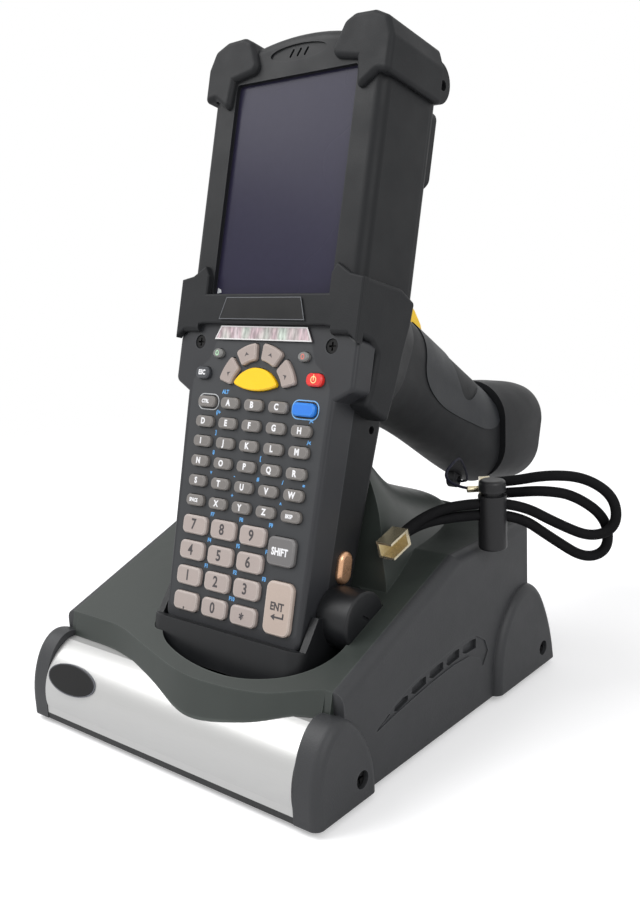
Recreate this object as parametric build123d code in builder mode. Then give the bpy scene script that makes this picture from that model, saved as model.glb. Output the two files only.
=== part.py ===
"""Hand-held data terminal with a pistol handle, standing in its charging cradle.

Millimetres, +Z up. The origin is on the table, under the middle of the whole assembly's box.
The terminal is drawn in its own leaning planes: u runs across it, v up along its face and
w out of its face, and the handle has a plane of its own across its axis.
"""
import os
from math import atan2, cos, degrees, radians, sin, sqrt, tan

from build123d import *

os.makedirs("parts", exist_ok=True)

# ---------------------------------------------------------------- fits
fixed_gap = 0.2            # between two fixed pieces that slip together
run_gap = 0.3              # between two pieces that move past each other
key_gap = 0.25             # round each key in its window
pin_gap = 0.05             # radial clearance of a turning pin

# ---------------------------------------------------------------- cradle
dock_y = -26.796             # fore and aft place of the cradle's datum
bar_half = 67.5            # half the length of the bright front bar
bar_thickness = 2.0
bar_front_y = -97.4
bar_top_z = 33.6
bar_back_y = -76.0
seam_x = bar_half + 3.0    # joint between top cover and side covers
side_face_x = seam_x + 4.7   # outer face of the side covers
lobe_face_x = side_face_x + 3.0   # outer face of the lobes on the side covers
cover_wall = 2.5
foot_height = 2.5
foot_width = 9.0
foot_length = 24.0
foot_x = 72.5
front_foot_y = -81.0
rear_foot_y = 37.0
slope_front_y = -77.4      # front end of the top cover's slope
slope_front_z = 42.6
deck_front_y = -3.6        # where the slope meets the deck
deck_z = 70.6
rear_corner_y = 52.0       # rear wall at the side covers
rear_bow = 18.0            # how far the rear wall bows back in the middle
moat_z = 30.0              # floor of the crescent hollow in front of the dock
front_lean = 0.38          # how far the cover's bulging front wall runs forward for each unit down
front_level = 40.0         # height at which front_curve is drawn
channel_depth = 0.5        # of the shallow channel round the side vents
lobe_round = 3.4           # rounding of the lobes' outer edges
cradle_screw_r = 3.3
cradle_screw_depth = 4.0
cradle_shank_r = 1.6
cradle_screw_z = 10.5
front_screw_y = -72.8
rear_screw_y = 60.9
base_thickness = 2.5
bar_low = foot_height + base_thickness
base_post = 3.0
cup_post_y = -54.0
cup_post_grid = (60.0, 22.0)
inlet_r = 3.2              # bore of the round power inlet
inlet_depth = 9.5
inlet_z = 16.0
inlet_size = 11.0
inlet_length = 14.0
board_top_z = inlet_z - inlet_size / 2

# ---------------------------------------------------------------- terminal's place in the cradle
lean = 15.27               # the face leans back by this angle
terminal_x = 12.0          # the dock lies to the right of the cradle's middle
foot_y = -67.8             # lower front edge of the face, from the cradle's datum
foot_z = 47.6
lift_travel = 0.09
cup_wall = 3.0
connector_w = -19.0
connector_half = 13.0
connector_depth = 8.5
cup_depth = 28.6            # of the pocket, from the terminal's face
cup_low = -14.0
cup_side_top = 13.0
cup_front_top = 0.8
cup_front_w = 4.6
hood_w = -33.6             # the hood's front face, behind the terminal
boss_v = 13.0
stud_v = 30.8
boss_w = -18.5
boss_r = 11.5
boss_out = 50.0

# ---------------------------------------------------------------- terminal
head_half = 43.0
head_bottom = 118.0
head_top = 230.5           # crown of the curved top edge
head_corner_v = 221.0      # where the curved top edge meets the sides
head_seam = 30.0           # depth of the front housing
head_depth = head_seam + 4.0
head_edge = 4.5            # rounding of the head's front edges
lower_bottom = -3.0
lower_half_high = 38.5     # half width of the keypad section at the head
lower_half_low = 35.0      # half width at its foot
lower_corner = 7.0
keypad_seam = 12.5         # depth of the keypad housing
lower_back = 26.5          # depth of the keypad section at its foot
wall = 2.5
shoulder_half = 45.5
shoulder_bottom = 91.0
shoulder_depth = 10.0
shoulder_screw_u = 33.7
shoulder_screw_v = 110.8
trim_out = 2.5             # how far bumpers and boot stand out of the face
bumper_half = 45.8
boot_half = 46.2
boot_bottom = 86.0
nameplate_thickness = 0.6

screen_half = 30.3
screen_low = 130.0
screen_high = 213.7
bezel_thickness = 2.0
window_lap = 1.6           # how far the window passes under the bezel
window_thickness = 1.4
module_thickness = 5.0
board_thickness = 1.6

panel_thickness = 1.0
keypad_plate = 3.5         # depth of the keypad housing's front plate, panel included
key_height = 1.7           # how far a key stands out of the panel
key_travel = 0.8
key_stop = 0.1             # what is left under a pressed key
lens_low = 112.2
lens_high = 117.0

lens_seat = 2.6
lens_corners = ((21.7, lens_high), (24.4, lens_low), (-24.4, lens_low), (-21.7, lens_high))
case_screws = ((shoulder_screw_u, shoulder_screw_v), (-shoulder_screw_u, shoulder_screw_v))
case_head_r = 2.6
case_head_seat = 1.9
case_shank_r = 1.2
case_boss_r = 4.0
board_posts = ((30.0, 134.0), (-30.0, 134.0), (30.0, 208.0), (-30.0, 208.0))
board_post_r = 3.0
scan_w = -17.0
scan_half = 16.0
scan_depth = 18.0
window_seat_v = 228.2

# ---------------------------------------------------------------- handle
grip_tilt = 14.5           # the handle's axis falls by this angle from square to the face
grip_v = 113.5
grip_w = -70.0
collar_s = -2.5            # joint between neck and grip, along the handle's axis
bay_half_u = 13.0
bay_half_t = 13.5
bay_start = 36.0
bay_wall = 1.5
trigger_half = 7.0
trigger_pin_s = -14.0
trigger_pin_t = 27.0
trigger_pin_r = 1.5
trigger_pocket_t = 13.0

cup_half = lower_half_low + 0.8 + run_gap + cup_wall

# ---------------------------------------------------------------- lanyard
cord_r = 2.1
string_r = 0.6
cord_pitch = 4.6           # between the two strands where they lie one over the other
clip_spread = 1.7          # of each cord from the clip's middle, sideways and up or down
clip_size = 7.0
lock_x = 80.5
lock_y = 13.5
lock_turn = 39.9           # the cords pass through the lock at this angle from the X axis
lock_low = 70.0
lock_high = 91.8
lock_r = 5.6
stem_r = 3.8
button_top = 98.0
button_travel = 1.5
strand_z = 86.2
strand_end_z = 92.4        # where both cords end behind the lock

# ---------------------------------------------------------------- planes and axes
face = Plane(origin=(terminal_x, dock_y + foot_y, foot_z), x_dir=(1, 0, 0),
             z_dir=(0, -cos(radians(lean)), sin(radians(lean))))
flank = Plane(origin=face.origin, x_dir=face.y_dir, z_dir=(1, 0, 0))
across_v = Plane(origin=face.origin, x_dir=(1, 0, 0), z_dir=face.y_dir)
grip_origin = face.origin + face.y_dir * grip_v + face.z_dir * grip_w
grip_axis = face.y_dir * -sin(radians(grip_tilt)) + face.z_dir * -cos(radians(grip_tilt))
grip = Plane(origin=grip_origin, x_dir=(1, 0, 0), z_dir=-1 * grip_axis)      # offset by minus s
grip_side = Plane(origin=grip_origin, x_dir=grip_axis, z_dir=(1, 0, 0))
cradle_side = Plane(origin=(0, dock_y, 0), x_dir=(0, 1, 0), z_dir=(1, 0, 0))
cradle_front = Plane(origin=(0, dock_y, 0), x_dir=(1, 0, 0), z_dir=(0, -1, 0))
cradle_plan = Plane(origin=(0, dock_y, 0))
w_axis = Axis(face.origin, face.z_dir)
v_axis = Axis(face.origin, face.y_dir)
s_axis = Axis(grip_origin, grip_axis)
mid_plane = Plane(origin=face.origin, z_dir=(1, 0, 0))
far = 200.0                # longer than any piece, for cuts that run right through


def finish(piece, name):
    """Name a finished piece and write its file."""
    piece.label = name
    export_step(piece, f"parts/{name}.step")
    print(f"{name:24s} solids {len(piece.solids()):3d}  volume {piece.volume:10.1f} mm3")


def outline(*points):
    """A closed polygon on the active sketch."""
    Polygon(*points, align=None)


def mirrored(points):
    """Points of a half outline, then the same points on the other side."""
    return [*points, *[(-x, y) for x, y in reversed(points)]]


# ================================================================ CRADLE
def bar_core(grow):
    """The bar's outer outline seen from the side, grown by a margin."""
    with BuildSketch() as section:
        with BuildLine():
            Polyline((bar_back_y, bar_top_z), (bar_back_y, bar_low), (bar_front_y, bar_low), (bar_front_y, 8.0))
            ThreePointArc((bar_front_y, 8.0), (bar_front_y + 3.1, 24.5), (-84.0, bar_top_z - 0.5))
            Line((-84.0, bar_top_z - 0.5), (bar_back_y, bar_top_z))
        make_face()
        offset(amount=grow, kind=Kind.INTERSECTION)
    return section.sketch


def side_profile(inset):
    """The top cover's side view, without its lip."""
    outline((slope_front_y - 2.0 + inset, foot_height), (slope_front_y - 2.0 + inset, 35.0),
            (slope_front_y + inset, slope_front_z - inset), (deck_front_y + inset * 0.3, deck_z - inset),
            (far, deck_z - inset), (far, foot_height))


def cover_plan(inset):
    """The top cover's outline from above, open to the front."""
    half = seam_x - inset
    rear = rear_corner_y - inset
    with BuildSketch() as section:
        with BuildLine():
            Polyline((half, rear), (half, -far), (-half, -far), (-half, rear))
            ThreePointArc((-half, rear), (0, rear + rear_bow), (half, rear))
        make_face()
    return section.sketch


front_curve = ((-58.0, -78.2), (-40.0, -78.8), (-23.0, -82.2), (-7.1, -85.6), (7.0, -88.0), (23.1, -88.3),
               (36.9, -87.2), (48.8, -85.0), (58.8, -81.2))


def slope_z(y):
    """Height of the top cover's slope at a distance from the cradle's datum."""
    return slope_front_z + (y - slope_front_y) * (deck_z - slope_front_z) / (deck_front_y - slope_front_y)


def cover_front():
    """The bulge of the top cover over the bar: its wall runs forward and down from the slope's front edge."""
    with BuildPart() as bulge:
        with BuildSketch(cradle_plan.offset(front_level + 15.0)):
            with BuildLine():
                rise = 15.0 * front_lean
                Spline((-bar_half, -78.2 + rise), *[(x, y + rise) for x, y in front_curve], (bar_half, -78.2 + rise))
                Polyline((bar_half, -78.2 + rise), (bar_half, -60.0), (-bar_half, -60.0),
                         (-bar_half, -78.2 + rise))
            make_face()
        extrude(amount=60, dir=(0, -front_lean, -1))
        with BuildSketch(cradle_side):
            Polygon((-110.0, bar_top_z - 11.0), (-110.0, slope_z(-110.0)), (-70.0, slope_z(-70.0)),
                    (-70.0, bar_top_z - 11.0), align=None)
        extrude(amount=far, both=True, mode=Mode.INTERSECT)
    return bulge.part


hood_sections = (  # height, half width and depth behind the hood's front face
    (58.0, 47.0, 98.0), (66.0, 46.0, 98.0), (73.0, 43.6, 90.0), (79.0, 42.2, 74.0), (84.0, 41.0, 58.0),
    (90.0, 39.0, 41.0), (99.0, 34.4, 24.0), (107.0, 28.6, 13.5), (112.0, 20.0, 8.0))


def hood_face_y(z):
    """Where the hood's leaning front face stands at a height, from the cradle's datum."""
    v = (z - foot_z - hood_w * sin(radians(lean))) / cos(radians(lean))
    return foot_y + v * sin(radians(lean)) - hood_w * cos(radians(lean))


def hood(inset):
    """The flared hood behind the terminal, wider and deeper towards the deck."""
    with BuildPart() as shell:
        for z, half, depth in hood_sections:
            with BuildSketch(cradle_plan.offset(z - inset * 1.5)):
                with Locations((terminal_x, hood_face_y(z))):
                    Ellipse(half - inset, depth - inset)
        loft()
        split(bisect_by=face.offset(hood_w - inset), keep=Keep.BOTTOM)
    return shell.part


moat_front = ((-28, -56), (-24, -67.5), (-15, -76.4), (-4.6, -80.6), (5.4, -82.9), (17.4, -84.2), (29.3, -83.8),
              (40.5, -81.1), (50.9, -76.0), (58.2, -68.5), (61.0, -56))


def moat(grow):
    """The crescent hollow round the front of the dock, from above."""
    curve = []
    for x, y in moat_front:
        reach = sqrt((x - terminal_x) ** 2 + (y + 50.0) ** 2)
        curve.append((x + grow * (x - terminal_x) / reach, y + grow * (y + 50.0) / reach))
    with BuildSketch() as section:
        with BuildLine():
            Spline(*curve)
            Polyline(curve[-1], (curve[-1][0], -46.0 + grow), (curve[0][0], -46.0 + grow), curve[0])
        make_face()
    return section.sketch


def cup_plan(grow):
    """The dock cup's outline across the terminal's long axis."""
    front = cup_front_w + grow
    rear = -hood_w - fixed_gap + grow
    with BuildSketch() as section:
        with Locations((0, (rear - front) / 2)):
            RectangleRounded(2 * (cup_half + grow), front + rear, 6.0 + grow)
    return section.sketch


def rear_blocks(grow):
    """Corner blocks that carry the rear lobes of the side covers, from above."""
    with BuildSketch() as section:
        with Locations((seam_x - 5.0 + grow / 2, rear_screw_y - 8.0), (-seam_x + 5.0 - grow / 2, rear_screw_y - 8.0)):
            Rectangle(10.0 + grow, 30.0 + grow)
    return section.sketch



with BuildPart() as cover_hollow:
    with BuildSketch(cradle_side):
        side_profile(cover_wall)
    extrude(amount=seam_x - cover_wall, both=True)
    with BuildSketch(cradle_side):
        add(bar_core(fixed_gap))
    extrude(amount=far, both=True)
    with BuildSketch(cradle_plan.offset(-5)):
        add(cover_plan(cover_wall))
    extrude(amount=far, mode=Mode.INTERSECT)
    add(hood(cover_wall))
    with BuildSketch(cradle_plan.offset(-5)):
        add(rear_blocks(0))
    extrude(amount=30, mode=Mode.SUBTRACT)
    with BuildSketch(cradle_plan.offset(moat_z - cover_wall)):
        add(moat(cover_wall))
    extrude(amount=far, mode=Mode.SUBTRACT)

with BuildPart() as cradle_top_cover:
    with BuildSketch(cradle_side):
        side_profile(0)
    extrude(amount=seam_x, both=True)
    add(cover_front())
    with BuildSketch(cradle_plan):
        add(cover_plan(0))
    extrude(amount=far, mode=Mode.INTERSECT)
    crease = cradle_top_cover.edges().filter_by(Axis.X).filter_by_position(Axis.Z, deck_z - 0.1, deck_z + 0.1)
    fillet(crease, radius=3.0)
    rear_rim = cradle_top_cover.edges().filter_by_position(Axis.Z, deck_z - 0.1, deck_z + 0.1)
    fillet(rear_rim.sort_by(Axis.Y)[-1:], radius=4.0)
    add(hood(0))
    with BuildSketch(cradle_plan.offset(foot_height)):
        add(rear_blocks(0))
    extrude(amount=22)
    add(cover_hollow.part, mode=Mode.SUBTRACT)
    with BuildSketch(cradle_plan.offset(moat_z)):
        add(moat(0))
    extrude(amount=far, mode=Mode.SUBTRACT)
    with BuildSketch(across_v.offset(cup_low - 1.0)):
        add(cup_plan(fixed_gap))
    extrude(amount=40, mode=Mode.SUBTRACT)
    with BuildSketch(flank):
        with Locations((boss_v, boss_w)):
            Circle(boss_r + fixed_gap)
    extrude(amount=boss_out + fixed_gap, mode=Mode.SUBTRACT)
    with BuildSketch(cradle_plan.offset(bar_low)):
        with Locations((terminal_x, cup_post_y)):
            with GridLocations(*cup_post_grid, 2, 2):
                Circle(base_post + fixed_gap)
    extrude(amount=40, mode=Mode.SUBTRACT)
    with BuildSketch(cradle_side):
        with Locations((slope_front_y - 11.0, bar_low / 2)):
            Rectangle(30, bar_low + 1.0)
    extrude(amount=far, both=True, mode=Mode.SUBTRACT)
    with BuildSketch(cradle_front.offset(-(rear_corner_y + rear_bow + 2.0))):
        with Locations((0, inlet_z)):
            Rectangle(inlet_size + 2 * fixed_gap, inlet_size + 2 * fixed_gap)
    extrude(amount=12, mode=Mode.SUBTRACT)
    with BuildSketch(cradle_side):
        with Locations((front_screw_y, cradle_screw_z), (rear_screw_y, cradle_screw_z)):
            Circle(cradle_shank_r)
    extrude(amount=far, both=True, mode=Mode.SUBTRACT)
finish(cradle_top_cover.part, "cradle_top_cover")

with BuildPart() as front_bar:
    with BuildSketch(cradle_side):
        add(bar_core(0))
        add(bar_core(-bar_thickness), mode=Mode.SUBTRACT)
    extrude(amount=bar_half, both=True)
    with BuildSketch(cradle_side):
        with Locations((bar_back_y, (bar_low + bar_top_z) / 2 - bar_thickness)):
            Rectangle(4 * bar_thickness, bar_top_z - bar_low)
        with Locations((bar_back_y - 10.0, bar_low)):
            Rectangle(2 * (bar_back_y - bar_front_y - bar_thickness) - 20.0, 3 * bar_thickness)
    extrude(amount=far, both=True, mode=Mode.SUBTRACT)
    with BuildSketch(cradle_plan.offset(moat_z - cover_wall - fixed_gap)):
        add(moat(cover_wall + fixed_gap))
    extrude(amount=far, mode=Mode.SUBTRACT)
finish(front_bar.part, "front_bar")

with BuildPart() as cup_posts:
    with BuildSketch(cradle_plan.offset(bar_low)):
        with Locations((terminal_x, cup_post_y)):
            with GridLocations(*cup_post_grid, 2, 2):
                Circle(base_post)
    extrude(amount=60)
    split(bisect_by=across_v.offset(cup_low), keep=Keep.BOTTOM)

with BuildPart() as cradle_base:
    with BuildSketch(cradle_plan.offset(foot_height)):
        add(cover_plan(cover_wall + fixed_gap))
        with Locations((0, slope_front_y - far / 2)):
            Rectangle(far, far, mode=Mode.SUBTRACT)
        with Locations((0, (bar_front_y + bar_back_y) / 2)):
            Rectangle(2 * bar_half, bar_back_y - bar_front_y)
        add(rear_blocks(fixed_gap), mode=Mode.SUBTRACT)
    extrude(amount=base_thickness)
    with BuildSketch(cradle_plan.offset(bar_low)):
        with Locations((-22, 0), (22, 0), (-22, 50), (22, 50)):
            Circle(base_post)
    extrude(amount=board_top_z - board_thickness - bar_low)
    add(cup_posts.part)
finish(cradle_base.part, "cradle_base")

with BuildPart() as cradle_feet:
    with BuildSketch(Plane.XY):
        for side in (1, -1):
            with Locations((side * (seam_x - foot_width / 2 - 4.0), dock_y + front_foot_y)):
                SlotOverall(foot_length, foot_width)
            with Locations((side * (seam_x - foot_width / 2 - 4.0), dock_y + rear_foot_y)):
                SlotOverall(foot_length, foot_width, rotation=90)
    extrude(amount=foot_height)
finish(cradle_feet.part, "cradle_feet")

with BuildPart() as cradle_board:
    with BuildSketch(cradle_plan.offset(board_top_z - board_thickness)):
        with Locations((0, 26)):
            RectangleRounded(64, 72, 3)
    extrude(amount=board_thickness)
    with BuildSketch(cradle_plan.offset(board_top_z)):
        with Locations((-18, 20), (14, 12)):
            Rectangle(14, 14)
        with Locations((18, 36)):
            Rectangle(9, 16)
    extrude(amount=2.5)
finish(cradle_board.part, "cradle_board")

with BuildPart() as power_inlet:
    with BuildSketch(cradle_front.offset(-(rear_corner_y + rear_bow + 0.6))):
        with Locations((0, inlet_z)):
            RectangleRounded(inlet_size, inlet_size, 1.0)
    extrude(amount=inlet_length)
    with BuildSketch(cradle_front.offset(-(rear_corner_y + rear_bow + 0.6))):
        with Locations((0, inlet_z)):
            Circle(inlet_r)
    extrude(amount=inlet_depth, mode=Mode.SUBTRACT)
finish(power_inlet.part, "power_inlet")

front_lobe = ((-97.7, 6.8), (-97.2, 15.8), (-94.8, 24.6), (-90.5, 31.8), (-84.0, 35.8), (-77.0, 34.2),
              (-70.5, 27.5), (-66.0, 18.5), (-64.0, 7.0))
rear_lobe = ((21.3, 6.0), (22.6, 18.5), (27.0, 29.8), (34.0, 38.0), (42.5, 43.0), (50.0, 43.6),
             (57.5, 39.5), (64.5, 29.6), (70.0, 16.5), (72.6, 6.0))
vents = (((-60.2, 22.1), (-58.0, 21.9), (-50.6, 24.6), (-52.4, 25.1)),
         ((-48.5, 24.6), (-46.6, 23.9), (-39.3, 25.3), (-39.2, 27.4), (-42.6, 27.7), (-47.8, 26.3)),
         ((-37.2, 27.0), (-34.9, 26.0), (-27.2, 27.1), (-27.1, 30.2), (-30.7, 30.3), (-36.7, 29.3)),
         ((-25.1, 28.6), (-22.6, 27.4), (-15.2, 28.4), (-15.1, 31.6), (-18.9, 31.6), (-24.5, 31.1)),
         ((-13.1, 29.2), (-11.2, 28.3), (-3.5, 29.0), (-3.4, 32.6), (-6.7, 32.7), (-12.5, 32.0)),
         ((-1.1, 29.7), (1.5, 28.6), (9.2, 28.4), (9.3, 32.4), (5.4, 32.9), (-0.7, 32.7)))
channel = ((-60.2, 21.4), (-49.2, 23.4), (-36.3, 25.1), (-22.6, 26.6), (-8.3, 27.6), (3.7, 26.9), (11.4, 23.2),
           (13.7, 18.9), (17.9, 24.3), (15.6, 29.5), (8.6, 33.9), (-0.6, 35.0), (-12.0, 33.8), (-24.0, 32.6),
           (-36.0, 31.0), (-48.0, 27.6))


def lobe(points):
    """A lobe's outline: a smooth curve that stands on a level foot."""
    with BuildSketch() as section:
        with BuildLine():
            Spline(*points)
            Polyline(points[-1], (points[-1][0], foot_height), (points[0][0], foot_height), points[0])
        make_face()
    return section.sketch


def side_cover(side):
    """One side cover: a thin panel along the top cover with a lobe at each end."""
    with BuildPart() as cover:
        with BuildSketch(cradle_side.offset(seam_x)):
            outline((slope_front_y, foot_height), (slope_front_y, slope_front_z), (deck_front_y, deck_z),
                    (rear_corner_y, deck_z), (rear_corner_y, foot_height))
        extrude(amount=side_face_x - seam_x)
        fillet(cover.faces().sort_by(Axis.X)[-1].edges().filter_by_position(Axis.Z, slope_front_z + 1, far),
               radius=4.0)
        for points, start in ((rear_lobe, seam_x), (front_lobe, bar_half + fixed_gap)):
            with BuildPart(mode=Mode.PRIVATE) as end:
                with BuildSketch(cradle_side.offset(start)):
                    add(lobe(points))
                extrude(amount=lobe_face_x - start)
                rim = end.faces().sort_by(Axis.X)[-1].edges().sort_by(Axis.Z)[-1:]
                fillet(rim, radius=lobe_round)
            add(end.part)
        with BuildSketch(cradle_side.offset(-1)):
            with Locations((slope_front_y - 2.0 - fixed_gap + far / 2, far / 2)):
                Rectangle(far, far)
        extrude(amount=seam_x + 1, mode=Mode.SUBTRACT)
        with BuildSketch(cradle_side.offset(side_face_x - channel_depth)):
            Polygon(*channel, align=None)
        extrude(amount=2 * channel_depth, mode=Mode.SUBTRACT)
        with BuildSketch(cradle_side.offset(side_face_x - 2.2)):
            for corners in vents:
                Polygon(*corners, align=None)
        extrude(amount=3.0, mode=Mode.SUBTRACT)
        with BuildSketch(cradle_side.offset(seam_x)):
            with Locations((front_screw_y, cradle_screw_z), (rear_screw_y, cradle_screw_z)):
                Circle(cradle_shank_r)
        extrude(amount=20, mode=Mode.SUBTRACT)
        with BuildSketch(cradle_side.offset(lobe_face_x - cradle_screw_depth)):
            with Locations((front_screw_y, cradle_screw_z), (rear_screw_y, cradle_screw_z)):
                Circle(cradle_screw_r)
        extrude(amount=20, mode=Mode.SUBTRACT)
    return cover.part if side > 0 else cover.part.mirror(Plane.YZ)


with BuildPart() as cradle_side_right:
    add(side_cover(1))
finish(cradle_side_right.part, "cradle_side_right")

with BuildPart() as cradle_side_left:
    add(side_cover(-1))
finish(cradle_side_left.part, "cradle_side_left")

with BuildPart() as cradle_screws:
    for side in (1, -1):
        with BuildSketch(cradle_side.offset(side * (lobe_face_x - cradle_screw_depth))):
            with Locations((front_screw_y, cradle_screw_z), (rear_screw_y, cradle_screw_z)):
                Circle(cradle_screw_r - fixed_gap)
        extrude(amount=side * 2.4)
        with BuildSketch(cradle_side.offset(side * (lobe_face_x - cradle_screw_depth))):
            with Locations((front_screw_y, cradle_screw_z), (rear_screw_y, cradle_screw_z)):
                Circle(cradle_shank_r)
        extrude(amount=-side * 8.0)
        with BuildSketch(cradle_side.offset(side * (lobe_face_x - cradle_screw_depth + 2.4))):
            with Locations((front_screw_y, cradle_screw_z), (rear_screw_y, cradle_screw_z)):
                Rectangle(4.4, 0.9)
                Rectangle(0.9, 4.4)
        extrude(amount=-side * 1.2, mode=Mode.SUBTRACT)
finish(cradle_screws.part, "cradle_screws")

with BuildPart() as dock_cup:
    with BuildSketch(across_v.offset(cup_low)):
        add(cup_plan(0))
    extrude(amount=cup_side_top - cup_low)
    # the front wall is low, so that the lowest keys stay in reach
    with BuildSketch(flank):
        outline((cup_front_top, run_gap), (cup_side_top + 1.0, -5.0), (cup_side_top + 1.0, 20.0),
                (cup_front_top, 20.0))
    extrude(amount=far, both=True, mode=Mode.SUBTRACT)
    with BuildSketch(flank):
        with Locations((boss_v, boss_w)):
            Circle(boss_r)
    extrude(amount=boss_out)
    fillet(dock_cup.faces().filter_by(Axis.X).sort_by(Axis.X)[-1:].edges(), radius=1.0)
    with BuildSketch(flank.offset(boss_out - 0.8)):
        with Locations((boss_v + 1.6, boss_w + 0.4)):
            SlotOverall(4.6, 1.3, rotation=70)
    extrude(amount=2.0, mode=Mode.SUBTRACT)
    with BuildSketch(across_v.offset(lower_bottom - run_gap)):
        with Locations((0, (cup_depth) / 2)):
            Rectangle(2 * (lower_half_low + 0.8 + run_gap), cup_depth + 2 * run_gap)
    extrude(amount=60, mode=Mode.SUBTRACT)
    with BuildSketch(across_v.offset(lower_bottom - run_gap)):
        with Locations((0, -connector_w)):
            Rectangle(2 * connector_half, connector_depth)
    extrude(amount=-8, mode=Mode.SUBTRACT)
finish(dock_cup.part, "dock_cup")

with BuildPart() as dock_connector:
    with BuildSketch(across_v.offset(lower_bottom - run_gap - 8)):
        with Locations((0, -connector_w)):
            Rectangle(2 * connector_half, connector_depth)
    extrude(amount=8)
    with BuildSketch(across_v.offset(lower_bottom - run_gap)):
        with Locations((0, -connector_w)):
            with GridLocations(3.4, 1, 7, 1):
                Rectangle(1.2, 3.0)
    extrude(amount=2.4)
finish(dock_connector.part, "dock_connector")


# ================================================================ TERMINAL
def head_outline(inset):
    """The head's front outline with its curved top edge."""
    half = head_half - inset
    corner = head_corner_v - inset
    with BuildSketch() as section:
        with BuildLine():
            Polyline((half, corner), (half, head_bottom), (-half, head_bottom), (-half, corner))
            ThreePointArc((-half, corner), (0, head_top - inset), (half, corner))
        make_face()
        fillet(section.vertices().sort_by(Axis.Y)[-2:], radius=6.0 - inset)
    return section.sketch


def lower_half(v):
    """Half the keypad section's width at a height."""
    slope = (lower_half_high - lower_half_low) / (head_bottom - lower_bottom)
    return lower_half_low + slope * (v - lower_bottom)


def lower_outline(inset, top):
    """The keypad section's tapering front outline up to a height."""
    upper = lower_half(top) - inset
    with BuildSketch() as section:
        Polygon((lower_half_low - inset, lower_bottom + inset), (upper, top), (-upper, top),
                (-lower_half_low + inset, lower_bottom + inset), align=None)
        fillet(section.vertices().sort_by(Axis.Y)[:2], radius=lower_corner - inset)
    return section.sketch


def shoulders(inset):
    """The wider part of the keypad housing just under the head."""
    half = shoulder_half - inset
    low = shoulder_bottom + inset
    with BuildSketch() as section:
        Polygon((36.0, low - 1.0), (half, low + 4.0), (half, 113.0), (40.7, 116.0), (31.0, 117.6),
                (-31.0, 117.6), (-40.7, 116.0), (-half, 113.0), (-half, low + 4.0), (-36.0, low - 1.0),
                align=None)
        fillet(section.vertices().filter_by(lambda p: abs(abs(p.X) - half) < 0.01), radius=3.0)
    return section.sketch


def keypad_outline(grow):
    """The keypad panel's outline."""
    right = ((33.0, 5.0), (35.0, 95.0), (32.5, 100.0), (27.0, 104.0), (24.0, 111.6))
    with BuildSketch() as section:
        Polygon(*right, *[(-u, v) for u, v in reversed(right)], align=None)
        fillet(section.vertices(), radius=1.5)
        offset(amount=grow)
    return section.sketch


def key_faces(keys, grow):
    """Rounded key outlines: centre, width, height and corner radius."""
    with BuildSketch() as section:
        for u, v, width, height, corner in keys:
            with Locations((u, v)):
                RectangleRounded(width + 2 * grow, height + 2 * grow, corner + grow)
    return section.sketch


def fan_face(start, grow):
    """One key of the fan round the scan key, from its starting angle."""
    inner = fan_inner - grow
    outer = fan_outer + grow
    a = radians(start) - grow / fan_inner
    b = radians(start + fan_sweep) + grow / fan_inner
    m = (a + b) / 2
    with BuildSketch() as section:
        with BuildLine():
            ThreePointArc((outer * cos(a), outer * sin(a)), (outer * cos(m), outer * sin(m)),
                          (outer * cos(b), outer * sin(b)))
            Line((outer * cos(b), outer * sin(b)), (inner * cos(b), inner * sin(b)))
            ThreePointArc((inner * cos(b), inner * sin(b)), (inner * cos(m), inner * sin(m)),
                          (inner * cos(a), inner * sin(a)))
            Line((inner * cos(a), inner * sin(a)), (outer * cos(a), outer * sin(a)))
        make_face()
        fillet(section.vertices(), radius=1.2)
    return section.sketch.moved(Location((0, fan_v, 0)))


def scan_face(grow):
    """The half-moon scan key."""
    half = 11.4 + grow
    with BuildSketch() as section:
        with BuildLine():
            ThreePointArc((-half, 95.0), (0, 101.4 + grow), (half, 95.0))
            ThreePointArc((half, 95.0), (0, 92.6 - grow), (-half, 95.0))
        make_face()
        fillet(section.vertices(), radius=1.0)
    return section.sketch.moved(Location((-0.5, 0, 0)))


def oval_face(grow):
    """The two ovals at the top of the panel."""
    with BuildSketch() as section:
        with Locations((-22.0, 106.4), (22.0, 106.4)):
            Ellipse(2.6 + grow, 1.8 + grow)
    return section.sketch


fan_v = 90.5
fan_inner = 13.8
fan_outer = 20.4
fan_sweep = 31.0
fan_starts = {"nav_key_right": 16.0, "nav_key_up": 54.0, "nav_key_down": 95.0, "nav_key_left": 133.0}
letter_cols = (-25.0, -12.5, 0.0, 12.5, 25.0)
letter_rows = (87.1, 79.2, 71.4, 63.5, 55.6, 47.8)
number_cols = (-23.3, -7.8, 7.7)
number_rows = (38.2, 28.1, 18.0, 7.9)
letter_size = (9.3, 4.4, 1.9)
number_size = (13.0, 7.3, 2.2)
key_sets = {"power_key": [(28.4, 98.2, 7.6, 4.8, 2.2)],
            "function_key": [(25.0, letter_rows[0], 10.6, 5.0, 2.0)],
            "shift_key": [(22.6, 34.6, 13.0, 10.6, 2.4)],
            "enter_key": [(24.4, 14.0, 12.8, 19.6, 3.0)]}
for number, v in enumerate(letter_rows):
    cols = letter_cols[:4] if number == 0 else letter_cols
    key_sets[f"letter_row_{number + 1}"] = [(u, v, *letter_size) for u in cols]
for number, v in enumerate(number_rows):
    key_sets[f"number_row_{number + 1}"] = [(u, v, *number_size) for u in number_cols]


def all_keys(grow):
    """Every key's outline, grown by a margin."""
    with BuildSketch() as section:
        for keys in key_sets.values():
            add(key_faces(keys, grow))
        for start in fan_starts.values():
            add(fan_face(start, grow))
        add(scan_face(grow))
        add(oval_face(grow))
        add(key_faces(escape_key, grow))
    return section.sketch


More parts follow.
